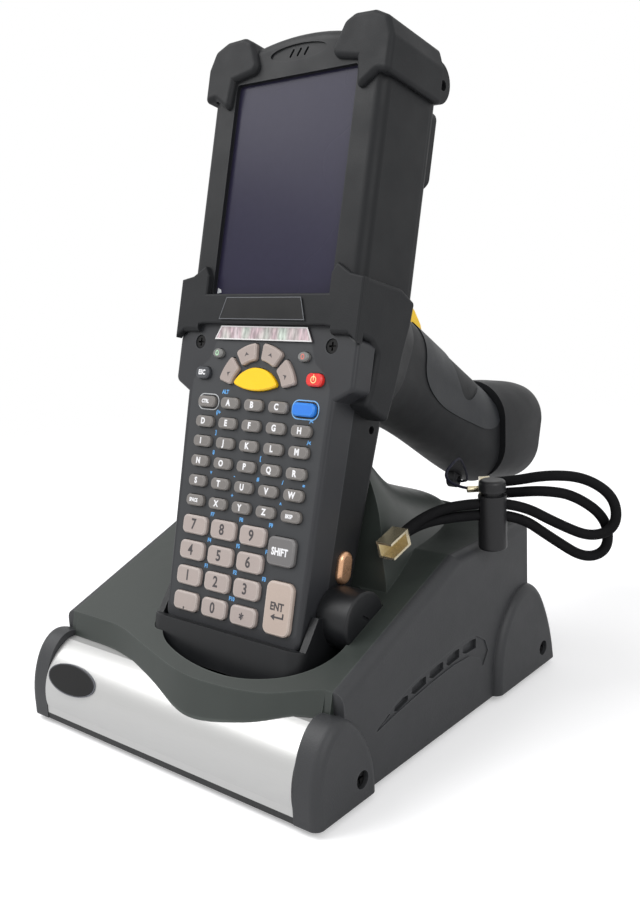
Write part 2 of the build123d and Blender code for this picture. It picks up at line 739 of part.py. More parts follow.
escape_key = [(-29.2, 98.4, 7.4, 4.8, 2.2)]
def neck(inset):
    """The neck between the back of the terminal and the handle."""
    with BuildPart() as stalk:
        with BuildSketch(face.offset(-31.0)):
            with Locations((0, 126.0)):
                RectangleRounded(66 - 2 * inset, 80 - 2 * inset, 20 - inset)
        with BuildSketch(face.offset(-48.0)):
            with Locations((0, 119.0)):
                RectangleRounded(54 - 2 * inset, 68 - 2 * inset, 22 - inset)
        with BuildSketch(grip.offset(-collar_s)):
            with Locations((0, -0.5)):
                RectangleRounded(43 - 2 * inset, 51 - 2 * inset, 20 - inset)
        loft()
    return stalk.part


def handle(inset, low_s, high_s):
    """The handle's outer shape between two stations of its axis."""
    with BuildPart() as stock:
        for s, width, depth, corner, middle in ((low_s, 43, 51, 20, -0.5), (20, 38, 46.5, 18, 1.5),
                                                (55, 36.5, 44.5, 17.5, 1.0), (high_s, 37, 42.5, 17.5, 0)):
            with BuildSketch(grip.offset(-s)):
                with Locations((0, middle)):
                    RectangleRounded(width - 2 * inset, depth - 2 * inset, corner - inset)
        loft()
    return stock.part


def trigger_space(grow):
    """The block round the trigger's pocket."""
    with BuildPart() as block:
        with BuildSketch(grip_side):
            outline((-21.0 - grow, trigger_pocket_t - grow), (26.0 + grow, trigger_pocket_t - grow),
                    (26.0 + grow, 60.0), (-21.0 - grow, 60.0))
        extrude(amount=trigger_half + 0.5 + grow, both=True)
    return block.part


def trigger_pin_shape(radius, half):
    """A round bar along the trigger's pin."""
    with BuildPart() as bar:
        with BuildSketch(grip_side):
            with Locations((trigger_pin_s, trigger_pin_t)):
                Circle(radius)
        extrude(amount=half, both=True)
    return bar.part


with BuildPart() as front_shape:
    with BuildSketch(face):
        add(head_outline(0))
    extrude(amount=-head_seam)
    fillet(front_shape.faces().sort_by(w_axis)[-1].edges().sort_by(v_axis)[1:], radius=head_edge)

with BuildPart() as keypad_shape:
    with BuildSketch(face):
        add(lower_outline(0, head_bottom))
    extrude(amount=-keypad_seam)
    with BuildSketch(face):
        add(shoulders(0))
    extrude(amount=-shoulder_depth)
    fillet(keypad_shape.faces().sort_by(w_axis)[-1].edges().sort_by(v_axis)[:-3], radius=1.5)

with BuildPart() as rear_lower:
    with BuildSketch(flank):
        Polygon((head_bottom + 3.0, -head_depth), (lower_bottom, -lower_back), (lower_bottom, -keypad_seam),
                (head_bottom, -keypad_seam), (head_bottom, -head_seam), (head_bottom + 3.0, -head_seam),
                align=None)
    extrude(amount=60, both=True)
    with BuildSketch(face):
        add(lower_outline(0, head_bottom + 3.0))
    extrude(amount=-60, mode=Mode.INTERSECT)
    back_face = rear_lower.faces().filter_by(lambda f: f.normal_at().dot(face.z_dir) < -0.9)
    fillet(back_face.edges().sort_by(v_axis)[:-1], radius=3.0)

with BuildPart() as rear_shape:
    with BuildSketch(face.offset(-head_seam)):
        add(head_outline(0))
    extrude(amount=head_seam - head_depth)
    fillet(rear_shape.faces().sort_by(w_axis)[0].edges().sort_by(v_axis)[1:], radius=3.0)
    add(rear_lower.part)

with BuildPart() as rear_hollow:
    with BuildSketch(flank):
        Polygon((228.0, wall - head_depth), (head_bottom, wall - head_depth),
                (lower_bottom, wall - lower_back), (lower_bottom, 0), (231.0, 0), align=None)
    extrude(amount=60, both=True)
    with BuildSketch(face):
        add(head_outline(wall))
        add(lower_outline(wall, head_bottom + wall))
    extrude(amount=-60, mode=Mode.INTERSECT)
    add(neck(3.0))
    add(trigger_space(2.0), mode=Mode.SUBTRACT)
    with BuildSketch(face.offset(wall - head_depth)):
        with Locations(*board_posts):
            Circle(board_post_r)
    extrude(amount=head_depth, mode=Mode.SUBTRACT)
    with BuildSketch(face.offset(-29.0)):
        with Locations(*case_screws):
            Circle(case_boss_r)
    extrude(amount=30, mode=Mode.SUBTRACT)

with BuildPart() as rear_housing:
    add(rear_shape.part)
    add(neck(0))
    with BuildSketch(grip_side):
        with Locations((trigger_pin_s, trigger_pin_t)):
            Circle(4.5)
        Polygon((-24.0, 16.0), (-10.0, 16.0), (-9.8, 28.6), (-16.0, 31.0), (-24.0, 33.0), align=None)
    extrude(amount=trigger_half + 3.0, both=True)
    # lug for the strap eyelet and the raised band behind the head
    for side in (1, -1):
        with BuildSketch(flank.offset(side * 42.9)):
            with Locations((217.0, -33.5)):
                Circle(8.0)
            with Locations((217.0, -36.8)):
                Circle(2.0, mode=Mode.SUBTRACT)
        extrude(amount=-side * 4.0)
    with BuildSketch(face.offset(-head_depth + 1.0)):
        with Locations((0, 192.0)):
            RectangleRounded(84.0, 30.0, 4.0)
    extrude(amount=-3.4)
    add(rear_hollow.part, mode=Mode.SUBTRACT)
    with BuildSketch(face.offset(-head_seam)):
        add(head_outline(0))
        with Locations((0, head_bottom)):
            Rectangle(far, 0.2, mode=Mode.SUBTRACT)
    extrude(amount=40, mode=Mode.SUBTRACT)
    add(trigger_space(0), mode=Mode.SUBTRACT)
    add(trigger_pin_shape(trigger_pin_r, trigger_half + 2.5), mode=Mode.SUBTRACT)
    with BuildSketch(across_v.offset(lower_bottom - 1.0)):
        with Locations((0, -connector_w)):
            Rectangle(2 * connector_half, connector_depth)
    extrude(amount=8.0, mode=Mode.SUBTRACT)
    with BuildSketch(face.offset(-keypad_seam + 1)):
        with Locations(*case_screws):
            Circle(case_shank_r)
    extrude(amount=-13.0, mode=Mode.SUBTRACT)
    for side in (1, -1):
        with BuildSketch(flank.offset(side * 60)):
            with Locations((83.0, -25.0)):
                Circle(1.6)
        extrude(amount=-side * 30, mode=Mode.SUBTRACT)
finish(rear_housing.part, "rear_housing")

with BuildPart() as front_housing:
    add(front_shape.part)
    with BuildSketch(face.offset(-bezel_thickness)):
        add(head_outline(wall))
        with Locations((0, head_bottom)):
            Rectangle(2 * (lower_half_high - wall), 4 * wall)
    extrude(amount=-head_depth, mode=Mode.SUBTRACT)
    with BuildSketch(face):
        with Locations((0, (screen_low + screen_high) / 2)):
            RectangleRounded(2 * screen_half, screen_high - screen_low, 1.5)
    extrude(amount=-bezel_thickness, mode=Mode.SUBTRACT)
    # seat and opening of the scan window in the top wall
    with BuildSketch(across_v.offset(window_seat_v)):
        with Locations((0, -scan_w)):
            Rectangle(2 * scan_half, scan_depth)
    extrude(amount=-wall - 6.0, mode=Mode.SUBTRACT)
    with BuildSketch(across_v.offset(window_seat_v)):
        with Locations((0, -scan_w)):
            Rectangle(2 * scan_half - 3.0, scan_depth - 3.0)
    extrude(amount=10, mode=Mode.SUBTRACT)
    # crescent recess and sound slots above the screen
    with BuildSketch(face):
        with Locations((0, 222.6)):
            Ellipse(14.0, 3.1)
    extrude(amount=-0.7, mode=Mode.SUBTRACT)
    with BuildSketch(face):
        with Locations((-3.6, 222.6), (0, 222.6), (3.6, 222.6)):
            SlotOverall(3.6, 1.0, rotation=60)
    extrude(amount=-bezel_thickness, mode=Mode.SUBTRACT)
finish(front_housing.part, "front_housing")

with BuildPart() as keypad_housing:
    add(keypad_shape.part)
    with BuildSketch(face.offset(-keypad_plate)):
        add(lower_outline(wall, head_bottom + wall))
    extrude(amount=-keypad_seam, mode=Mode.SUBTRACT)
    with BuildSketch(face.offset(-keypad_plate)):
        with Locations(*case_screws):
            Circle(case_boss_r)
    extrude(amount=keypad_plate - keypad_seam)
    with BuildSketch(face):
        add(keypad_outline(0))
    extrude(amount=-panel_thickness, mode=Mode.SUBTRACT)
    with BuildSketch(face):
        add(all_keys(key_gap))
    extrude(amount=-keypad_plate, mode=Mode.SUBTRACT)
    with BuildSketch(face):
        Polygon(*lens_corners, align=None)
    extrude(amount=-lens_seat, mode=Mode.SUBTRACT)
    with BuildSketch(face):
        with Locations(*case_screws):
            Circle(case_head_r + fixed_gap)
    extrude(amount=-case_head_seat, mode=Mode.SUBTRACT)
    with BuildSketch(face):
        with Locations(*case_screws):
            Circle(case_shank_r)
    extrude(amount=-keypad_seam, mode=Mode.SUBTRACT)
finish(keypad_housing.part, "keypad_housing")

with BuildPart() as keypad_panel:
    with BuildSketch(face.offset(-panel_thickness)):
        add(keypad_outline(0))
        add(all_keys(key_gap), mode=Mode.SUBTRACT)
    extrude(amount=panel_thickness)
finish(keypad_panel.part, "keypad_panel")

with BuildPart() as keypad_board:
    with BuildSketch(face.offset(-keypad_plate)):
        with Locations((0, 53.0)):
            RectangleRounded(62.0, 100.0, 3.0)
        with Locations((0, 104.0)):
            RectangleRounded(50.0, 18.0, 3.0)
    extrude(amount=-board_thickness)
    with BuildSketch(face.offset(-keypad_plate - board_thickness)):
        with Locations((0, 60.0)):
            Rectangle(22, 22)
        with Locations((-18, 24), (18, 30)):
            Rectangle(12, 16)
    extrude(amount=-2.0)
finish(keypad_board.part, "keypad_board")

with BuildPart() as housing_screws:
    with BuildSketch(face.offset(-case_head_seat)):
        with Locations(*case_screws):
            Circle(case_head_r)
    extrude(amount=1.5)
    with BuildSketch(face.offset(-case_head_seat)):
        with Locations(*case_screws):
            Circle(case_shank_r)
    extrude(amount=-20.0)
    with BuildSketch(face.offset(-case_head_seat + 1.5)):
        with Locations(*case_screws):
            Rectangle(3.2, 0.7)
            Rectangle(0.7, 3.2)
    extrude(amount=-0.9, mode=Mode.SUBTRACT)
finish(housing_screws.part, "housing_screws")

with BuildPart() as indicator_lens:
    with BuildSketch(face.offset(-lens_seat)):
        Polygon(*lens_corners, align=None)
    extrude(amount=lens_seat + 0.8)
finish(indicator_lens.part, "indicator_lens")

with BuildPart() as display_window:
    with BuildSketch(face.offset(-bezel_thickness)):
        with Locations((0, (screen_low + screen_high) / 2)):
            RectangleRounded(2 * (screen_half + window_lap), screen_high - screen_low + 2 * window_lap, 2.5)
    extrude(amount=-window_thickness)
finish(display_window.part, "display_window")

module_face = bezel_thickness + window_thickness
with BuildPart() as display_module:
    with BuildSketch(face.offset(-module_face)):
        with Locations((0, 171.0)):
            RectangleRounded(70.0, 94.0, 2.0)
    extrude(amount=-module_thickness)
finish(display_module.part, "display_module")

board_face = module_face + module_thickness
with BuildPart() as main_board:
    with BuildSketch(face.offset(-board_face)):
        with Locations((0, 170.5)):
            RectangleRounded(74.0, 95.0, 3.0)
    extrude(amount=-board_thickness)
    with BuildSketch(face.offset(-board_face - board_thickness)):
        with Locations((-10, 160)):
            Rectangle(24, 24)
        with Locations((16, 166), (16, 146)):
            Rectangle(12, 14)
        with Locations((-10, 136)):
            Rectangle(30, 9)
    extrude(amount=-2.2)
finish(main_board.part, "main_board")

with BuildPart() as scan_engine:
    with BuildSketch(face.offset(-board_face - board_thickness)):
        with Locations((0, 214.0)):
            RectangleRounded(28.0, 20.0, 1.5)
    extrude(amount=-14.0)
    with BuildSketch(across_v.offset(224.0)):
        with Locations((-6.0, -scan_w)):
            Circle(4.0)
        with Locations((7.0, -scan_w)):
            Rectangle(6.0, 6.0)
    extrude(amount=1.2)
finish(scan_engine.part, "scan_engine")

with BuildPart() as scan_window:
    with BuildSketch(across_v.offset(window_seat_v)):
        with Locations((0, -scan_w)):
            Rectangle(2 * scan_half, scan_depth)
    extrude(amount=-1.8)
finish(scan_window.part, "scan_window")

with BuildPart() as base_connector:
    with BuildSketch(across_v.offset(lower_bottom)):
        with Locations((0, -connector_w)):
            Rectangle(2 * connector_half, connector_depth)
    extrude(amount=7.0)
    with BuildSketch(across_v.offset(lower_bottom)):
        with Locations((0, -connector_w)):
            Rectangle(2 * connector_half - 2.0, 4.4)
    extrude(amount=3.6, mode=Mode.SUBTRACT)
finish(base_connector.part, "base_connector")

with BuildPart() as latch_studs:
    for side in (1, -1):
        with BuildSketch(flank.offset(side * (lower_half(stud_v) - 1.5))):
            with Locations((stud_v, -19.6)):
                SlotOverall(12.6, 7.8)
        extrude(amount=side * 3.4)
    fillet(latch_studs.faces().filter_by(Axis.X).sort_by(Axis.X)[-1].edges(), radius=1.5)
    fillet(latch_studs.faces().filter_by(Axis.X).sort_by(Axis.X)[0].edges(), radius=1.5)
    add(rear_shape.part, mode=Mode.SUBTRACT)
finish(latch_studs.part, "latch_studs")

boot_front = ((46.2, 112.0), (40.9, 116.2), (31.0, 117.9), (-31.0, 117.9), (-40.9, 116.2), (-46.2, 112.0),
              (-46.2, 135.5), (-40.0, 136.8), (-33.5, 140.8), (-31.2, 137.0), (-31.2, 129.6),
              (31.2, 129.6), (31.2, 137.0), (33.5, 140.8), (40.0, 136.8), (46.2, 135.5))
boot_side = ((136.0, trim_out), (136.0, -22.0), (132.5, -31.5), (123.0, -30.5), (111.7, -28.0), (98.9, -26.0),
             (86.0, -23.0), (88.8, -13.0), (91.0, -8.5), (99.6, -10.5), (109.9, -11.5), (113.6, -7.0),
             (115.0, trim_out))
with BuildPart() as boot_band:
    with BuildSketch(face.offset(-1.0)):
        Polygon(*boot_front, align=None)
    extrude(amount=trim_out + 1.0)
    fillet(boot_band.faces().sort_by(w_axis)[-1].edges(), radius=0.8)

with BuildPart() as lower_boot:
    for side in (1, -1):
        with BuildSketch(flank.offset(side * (lower_half_low - 1.0))) as wrap:
            Polygon(*boot_side, align=None)
            fillet(wrap.vertices(), radius=1.8)
        extrude(amount=side * (boot_half - lower_half_low + 1.0))
        fillet(lower_boot.faces().sort_by(Axis.X)[-1 if side > 0 else 0].edges(), radius=2.0)
    add(boot_band.part)
    add(front_shape.part, mode=Mode.SUBTRACT)
    add(keypad_shape.part, mode=Mode.SUBTRACT)
    add(rear_shape.part, mode=Mode.SUBTRACT)
    with BuildSketch(face):
        with Locations((0, 150)):
            Rectangle(2 * 36.0, 100.0)
    extrude(amount=-60, mode=Mode.SUBTRACT)
finish(lower_boot.part, "lower_boot")

with BuildPart() as nameplate:
    with BuildSketch(face.offset(trim_out)):
        Polygon((18.6, 127.9), (21.4, 119.7), (-21.4, 119.7), (-18.6, 127.9), align=None)
    extrude(amount=nameplate_thickness)
finish(nameplate.part, "nameplate")

bumper_front = ((17.4, 217.1), (23.0, 229.5), (27.5, 231.8), (36.5, 231.4), (42.8, 228.4), (45.8, 221.0),
                (45.8, 207.5), (40.2, 208.6), (32.0, 202.8), (30.6, 214.6))
with BuildPart() as top_bumpers:
    for side in (1, -1):
        with BuildSketch(face.offset(-31.5)) as corner:
            Polygon(*[(side * u, v) for u, v in bumper_front], align=None)
            fillet(corner.vertices().filter_by(lambda p: p.Y > 216.0), radius=3.4)
            fillet(corner.vertices().filter_by(lambda p: p.Y < 209.0), radius=1.6)
        extrude(amount=31.5 + trim_out)
        fillet(top_bumpers.faces().filter_by(lambda f: f.normal_at().dot(face.z_dir) > 0.9)
               .edges().filter_by(lambda e: side * mid_plane.to_local_coords(e.center()).Z > 0), radius=2.2)
    add(front_shape.part, mode=Mode.SUBTRACT)
    add(rear_shape.part, mode=Mode.SUBTRACT)
    add(rear_housing.part, mode=Mode.SUBTRACT)
    with BuildSketch(face):
        with Locations((0, 180)):
            Rectangle(2 * (head_half - 1.0), 88.0)
    extrude(amount=-60, mode=Mode.SUBTRACT)
finish(top_bumpers.part, "top_bumpers")


# ================================================================ HANDLE
joint_line = ((113.6, -152.7), (72.9, -162.2))       # joint between handle and battery cap, as v and w


def below_joint(gap):
    """Everything past the joint between handle and battery cap."""
    with BuildPart() as region:
        with BuildSketch(flank):
            (v1, w1), (v2, w2) = joint_line
            dv = (v1 - v2) * 2
            dw = (w1 - w2) * 2
            Polygon((v1 + dv, w1 + dw - gap), (v2 - dv, w2 - dw - gap), (v2 - dv, w2 - dw - 120.0),
                    (v1 + dv, w1 + dw - 120.0), align=None)
        extrude(amount=80, both=True)
    return region.part


def cap_shape():
    """The round battery cap's outer shape."""
    with BuildPart() as stock:
        for w, v, width, depth, corner in ((-146, 93.5, 42, 46, 18), (-163, 93.5, 44.5, 49.5, 18.5),
                                           (-180, 95, 46, 51, 19), (-195, 96.0, 45, 49, 19)):
            with BuildSketch(face.offset(w)):
                with Locations((0, v)):
                    RectangleRounded(width, depth, corner)
        loft()
        fillet(stock.faces().sort_by(w_axis)[0].edges(), radius=3.0)
    return stock.part


teardrop = ((126, -83), (110, -86), (102, -97), (96.7, -116), (94, -134), (93.6, -148), (98.5, -156),
            (103, -156), (109, -149), (113, -139), (118.5, -112))
handle_end = 106.0

with BuildPart() as bay:
    with BuildSketch(grip.offset(-bay_start)):
        RectangleRounded(2 * (bay_half_u + run_gap), 2 * (bay_half_t + run_gap), 3.0)
    extrude(amount=-90)

with BuildPart() as grip_panels:
    with BuildSketch(flank):
        with BuildLine():
            Spline(*teardrop, teardrop[0], tangents=((-1, 0), (-1, 0)))
        make_face()
    extrude(amount=40, both=True)
    add(handle(-0.5, collar_s, handle_end), mode=Mode.INTERSECT)
    add(handle(1.0, collar_s - 1.0, handle_end + 1.0), mode=Mode.SUBTRACT)
    with BuildSketch(flank):
        with Locations((105.0, -115.0)):
            Rectangle(90, 120)
    extrude(amount=10.0, both=True, mode=Mode.SUBTRACT)
    add(below_joint(-fixed_gap), mode=Mode.SUBTRACT)
finish(grip_panels.part, "grip_panels")

with BuildPart() as handle_hollow:
    add(handle(3.0, collar_s, handle_end))
    with BuildSketch(grip.offset(-bay_start + 4.0)):
        Rectangle(60, 60)
    extrude(amount=-90, mode=Mode.SUBTRACT)
    add(trigger_space(2.0), mode=Mode.SUBTRACT)

with BuildPart() as handle_shell:
    add(handle(0, collar_s, handle_end))
    add(handle_hollow.part, mode=Mode.SUBTRACT)
    add(bay.part, mode=Mode.SUBTRACT)
    add(trigger_space(0), mode=Mode.SUBTRACT)
    # lug for the wrist string, under the handle near its end
    with BuildSketch(flank):
        with Locations((70.5, -151.5)):
            SlotOverall(15.0, 8.0, rotation=-12)
        with Locations((67.2, -152.5)):
            Circle(1.8, mode=Mode.SUBTRACT)
    extrude(amount=2.0, both=True)
    add(bay.part, mode=Mode.SUBTRACT)
    add(below_joint(0), mode=Mode.SUBTRACT)
    add(grip_panels.part, mode=Mode.SUBTRACT)
finish(handle_shell.part, "handle_shell")

with BuildPart() as battery_pack:
    add(cap_shape())
    add(below_joint(run_gap / 2), mode=Mode.INTERSECT)
    with BuildSketch(grip.offset(-bay_start - run_gap)):
        RectangleRounded(2 * bay_half_u, 2 * bay_half_t, 2.7)
    extrude(amount=-75)
    with BuildSketch(grip.offset(-bay_start - run_gap)):
        with GridLocations(6.0, 1, 4, 1):
            Rectangle(3.0, 10.0)
    extrude(amount=-0.6, mode=Mode.SUBTRACT)
finish(battery_pack.part, "battery_pack")

trigger_side = ((-17, 31.5), (-8, 33.5), (4, 33), (12, 31), (19, 27.5), (23, 23.5), (22, 19), (8, 20),
                (-6, 22.5), (-16, 23))
with BuildPart() as trigger:
    with BuildSketch(grip_side):
        Polygon(*trigger_side, align=None)
    extrude(amount=trigger_half, both=True)
    fillet(trigger.edges().filter_by(lambda e: e.center().X < terminal_x - trigger_half + 0.01), radius=1.5)
    fillet(trigger.edges().filter_by(lambda e: e.center().X > terminal_x + trigger_half - 0.01), radius=1.5)
    add(trigger_pin_shape(4.0, trigger_half))
    add(trigger_pin_shape(4.6, 2.6), mode=Mode.SUBTRACT)
    add(trigger_pin_shape(trigger_pin_r + pin_gap, trigger_half + 1.0), mode=Mode.SUBTRACT)
finish(trigger.part, "trigger")

with BuildPart() as trigger_pin:
    add(trigger_pin_shape(trigger_pin_r, trigger_half + 2.5))
finish(trigger_pin.part, "trigger_pin")

with BuildPart() as trigger_spring:
    with BuildSketch(Plane(origin=grip_side.from_local_coords((trigger_pin_s, trigger_pin_t, 0)),
                           x_dir=(1, 0, 0), z_dir=grip_axis)):
        with Locations(*[(x, 2.6) for x in (-1.6, -0.8, 0, 0.8, 1.6)]):
            Circle(0.44)
    revolve(axis=Axis(grip_side.from_local_coords((trigger_pin_s, trigger_pin_t, 0)), (1, 0, 0)))
    with BuildSketch(grip_side):
        with Locations((trigger_pin_s + 4.4, trigger_pin_t + 2.5)):
            Rectangle(8.9, 0.8)
    extrude(amount=0.44, both=True)
    add(trigger.part, mode=Mode.SUBTRACT)
finish(trigger_spring.part, "trigger_spring")

# ================================================================ KEYS
key_root = keypad_plate - key_travel - key_stop


def key_caps(section):
    """Key caps of one outline, from their roots to their rounded tops."""
    with BuildPart() as caps:
        with BuildSketch(face.offset(-key_root)):
            add(section)
        extrude(amount=key_root + key_height)
        chamfer(caps.faces().filter_by(lambda f: f.normal_at().dot(face.z_dir) > 0.99).edges(), length=0.5)
    return caps.part


for key_name, keys in key_sets.items():
    finish(key_caps(key_faces(keys, 0)), key_name)
for key_name, start in fan_starts.items():
    finish(key_caps(fan_face(start, 0)), key_name)
finish(key_caps(scan_face(0)), "scan_key")
with BuildSketch() as corner_faces:
    add(oval_face(0))
    add(key_faces(escape_key, 0))
finish(key_caps(corner_faces.sketch), "corner_keys")


# ================================================================ LANYARD
def at(x, y, z):
    """A point given from the cradle's datum."""
    return Vector(x, dock_y + y, z)


def by_lock(s, z, n=0.0):
    """A point in the upright plane of the cord loops: along them, up, and towards the front."""
    a = radians(lock_turn)
    return at(lock_x + s * cos(a) + n * sin(a), lock_y + s * sin(a) - n * cos(a), z)


def bend_radii(points, largest):
    """A radius for every bend that leaves a straight piece on both sides of it."""
    radii = []
    for before, here, after in zip(points, points[1:], points[2:]):
        run_in = here - before
        run_out = after - here
        half_turn = radians(run_in.get_angle(run_out)) / 2
        radii.append(min(largest, 0.45 * min(run_in.length, run_out.length) / tan(half_turn)))
    return radii


def cord(points, radius, largest):
    """A round cord along straight runs with tangent bends."""
    radii = bend_radii(points, largest)
    with BuildPart() as piece:
        with BuildLine() as route:
            FilletPolyline(*points, radius=radii)
        with BuildSketch(Plane(origin=points[0], z_dir=points[1] - points[0])):
            Circle(radius)
        sweep(path=route.wires()[0])
    length = route.wires()[0].length
    print(f"   cord of {length:.1f} mm, radii {[round(r, 1) for r in radii]}, "
          f"volume over section times length {piece.part.volume / (length * radius ** 2 * 3.14159265):.4f}")
    return piece.part


lock_slant = Plane(origin=by_lock(0, 0), x_dir=by_lock(1, 0) - by_lock(0, 0), z_dir=(0, 0, 1))
lock_side = Plane(origin=by_lock(0, 0), x_dir=(0, 0, 1), z_dir=by_lock(1, 0) - by_lock(0, 0))
upper = strand_z + cord_pitch / 2
lower = strand_z - cord_pitch / 2
clip_end = at(59.5, -18.5, 80.6)
clip_way = (clip_end - at(59.5, -32.2, 76.6)).normalized()
clip_up = clip_way.cross(Vector(1, 0, 0)) * -1
end_back = -(lock_r + 3.0)


def strands(side):
    """The bends from the clip to just past the lock, for one of the two strands."""
    start = clip_end + (clip_up + Vector(1, 0, 0)) * side * clip_spread
    lift = Vector(0, 0, side * cord_pitch / 2)
    return [start, start + clip_way * 9.0, by_lock(-16.0, strand_z) + lift, by_lock(9.0, strand_z) + lift]


outer_route = [*strands(-1), by_lock(24.0, 72.5), by_lock(36.5, 63.8), by_lock(46.6, 66.2, -2.8),
               by_lock(45.6, 79.5, -2.8), by_lock(32.0, 90.2), by_lock(20.0, 92.6),
               by_lock(9.0, strand_end_z - cord_pitch / 2, end_back),
               by_lock(0.5, strand_end_z - cord_pitch / 2, end_back)]
inner_route = [*strands(1), by_lock(27.0, 78.0), by_lock(38.5, 73.2, 2.2), by_lock(48.0, 77.0, 2.6),
               by_lock(47.4, 89.0, 2.0), by_lock(36.5, 97.0), by_lock(22.0, 98.8),
               by_lock(9.0, strand_end_z + cord_pitch / 2, end_back),
               by_lock(0.5, strand_end_z + cord_pitch / 2, end_back)]
string_route = [by_lock(-3.5, strand_end_z, end_back), by_lock(-10.0, strand_end_z, end_back),
                by_lock(-18.0, 97.0, end_back - 3.0), at(52.0, 33.0, 99.0), at(38.0, 60.0, 93.0),
                at(27.0, 84.0, 78.0), at(18.0, 97.0, 71.2), at(9.0, 97.0, 71.2)]

with BuildPart() as lanyard_cord_outer:
    add(cord(outer_route, cord_r, 14.0))
finish(lanyard_cord_outer.part, "lanyard_cord_outer")

with BuildPart() as lanyard_cord_inner:
    add(cord(inner_route, cord_r, 14.0))
finish(lanyard_cord_inner.part, "lanyard_cord_inner")

with BuildPart() as lanyard_string:
    add(cord(string_route, string_r, 30.0))
finish(lanyard_string.part, "lanyard_string")

with BuildPart() as lanyard_fittings:
    # clip at the cords' ends: a wall across them and an open channel
    with BuildSketch(Plane(origin=clip_end, x_dir=(1, 0, 0), z_dir=clip_way)):
        Rectangle(clip_size, clip_size)
    extrude(amount=-11.5)
    with BuildSketch(Plane(origin=clip_end - clip_way * 1.6, x_dir=(1, 0, 0), z_dir=clip_way)):
        with Locations((1.0, 0)):
            Rectangle(clip_size, clip_size - 1.8)
    extrude(amount=-20.0, mode=Mode.SUBTRACT)
    # ferrule behind the lock, where both cords end and the string starts
    with BuildSketch(Plane(origin=by_lock(0.5, strand_end_z, end_back), x_dir=(0, 0, 1),
                           z_dir=by_lock(-1, 0) - by_lock(0, 0))):
        RectangleRounded(9.4, 5.0, 1.5)
    extrude(amount=4.0)
finish(lanyard_fittings.part, "lanyard_fittings")

with BuildPart() as cord_lock_barrel:
    with BuildSketch(lock_slant.offset(lock_low)):
        Circle(lock_r)
    extrude(amount=lock_high - lock_low)
    fillet(cord_lock_barrel.edges().sort_by(Axis.Z)[:1], radius=1.2)
    with BuildSketch(lock_slant.offset(lock_low + 2.0)):
        Circle(stem_r + pin_gap)
    extrude(amount=lock_high, mode=Mode.SUBTRACT)
    with BuildSketch(lock_side):
        with Locations((strand_z, 0)):
            RectangleRounded(2 * cord_pitch + 0.4, 2 * cord_r + 0.4, 1.8)
    extrude(amount=20, both=True, mode=Mode.SUBTRACT)
finish(cord_lock_barrel.part, "cord_lock_barrel")

with BuildPart() as cord_lock_plunger:
    with BuildSketch(lock_slant.offset(lock_high + button_travel + 0.2)):
        Circle(lock_r - 0.3)
    extrude(amount=button_top - lock_high - button_travel - 0.2)
    fillet(cord_lock_plunger.edges().sort_by(Axis.Z)[-1:], radius=1.6)
    with BuildSketch(lock_slant.offset(lock_low + 2.0 + button_travel + 0.4)):
        Circle(stem_r)
    extrude(amount=button_top - lock_low - 6.0)
    with BuildSketch(lock_side):
        with Locations((strand_z + button_travel / 2, 0)):
            RectangleRounded(2 * cord_pitch + 0.4 + button_travel, 2 * cord_r + 0.4, 1.8)
    extrude(amount=20, both=True, mode=Mode.SUBTRACT)
finish(cord_lock_plunger.part, "cord_lock_plunger")
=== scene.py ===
"""Dresses a pistol-grip data terminal that stands in its charging cradle.

Metres, in the row frame. The terminal's face is a leaning plane: u runs across it, v up along it
and w out of it, and sizes on it are written in millimetres.
"""
import math

import bpy
from mathutils import Euler, Matrix, Vector


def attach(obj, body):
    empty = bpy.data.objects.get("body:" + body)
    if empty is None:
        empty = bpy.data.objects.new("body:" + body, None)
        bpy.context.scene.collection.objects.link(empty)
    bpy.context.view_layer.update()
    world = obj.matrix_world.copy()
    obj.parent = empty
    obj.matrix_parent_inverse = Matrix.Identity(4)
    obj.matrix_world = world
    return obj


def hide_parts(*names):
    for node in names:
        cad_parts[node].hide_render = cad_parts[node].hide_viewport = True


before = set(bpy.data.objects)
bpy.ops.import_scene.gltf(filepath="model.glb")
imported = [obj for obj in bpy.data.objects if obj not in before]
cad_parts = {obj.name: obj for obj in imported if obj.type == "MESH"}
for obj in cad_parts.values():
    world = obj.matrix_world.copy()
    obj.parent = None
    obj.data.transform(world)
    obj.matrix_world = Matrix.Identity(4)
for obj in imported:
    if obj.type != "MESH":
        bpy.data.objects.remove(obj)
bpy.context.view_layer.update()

bl_info = {
    "name": "Pistol-grip data terminal",
    "version": (1, 0, 0),
    "blender": (4, 5, 0),
    "location": "3D View > Sidebar > Terminal",
    "description": "Finishes, key legends, lanyard and studio for a data terminal in its cradle",
    "category": "Object",
}

MM = 0.001
LEAN = math.radians(15.27)                 # the face leans back by this angle
FOOT = Vector((0.012, -0.094596, 0.0476))  # lower front edge of the face
UP = Vector((0.0, math.sin(LEAN), math.cos(LEAN)))
OUT = Vector((0.0, -math.cos(LEAN), math.sin(LEAN)))
FACE_TURN = (math.pi / 2 - LEAN, 0.0, 0.0)
KEY_TOP = 1.7                              # how far a key's top stands out of the face
INK = 0.03                                 # how far lettering stands proud
LIFT = 0.01                                # how far lettering starts above its surface
MARK = 0.06                                # thickness of a printed mark
SINK = 0.02                                # how far a mark starts below its surface
LEGEND_SHIFT = -0.3                        # legends stand this far from the middle of a key
CAPITALS = 0.72                            # height of a capital as a share of the text's size
EDGE_WEAR_AND_HIGHLIGHT_RADIUS = 0.0009                  # metres of an edge that rubbing and a painted highlight lighten


def on_face(u, v, w):
    """A point of the leaning face, given in millimetres."""
    return FOOT + Vector((u * MM, 0.0, 0.0)) + UP * (v * MM) + OUT * (w * MM)


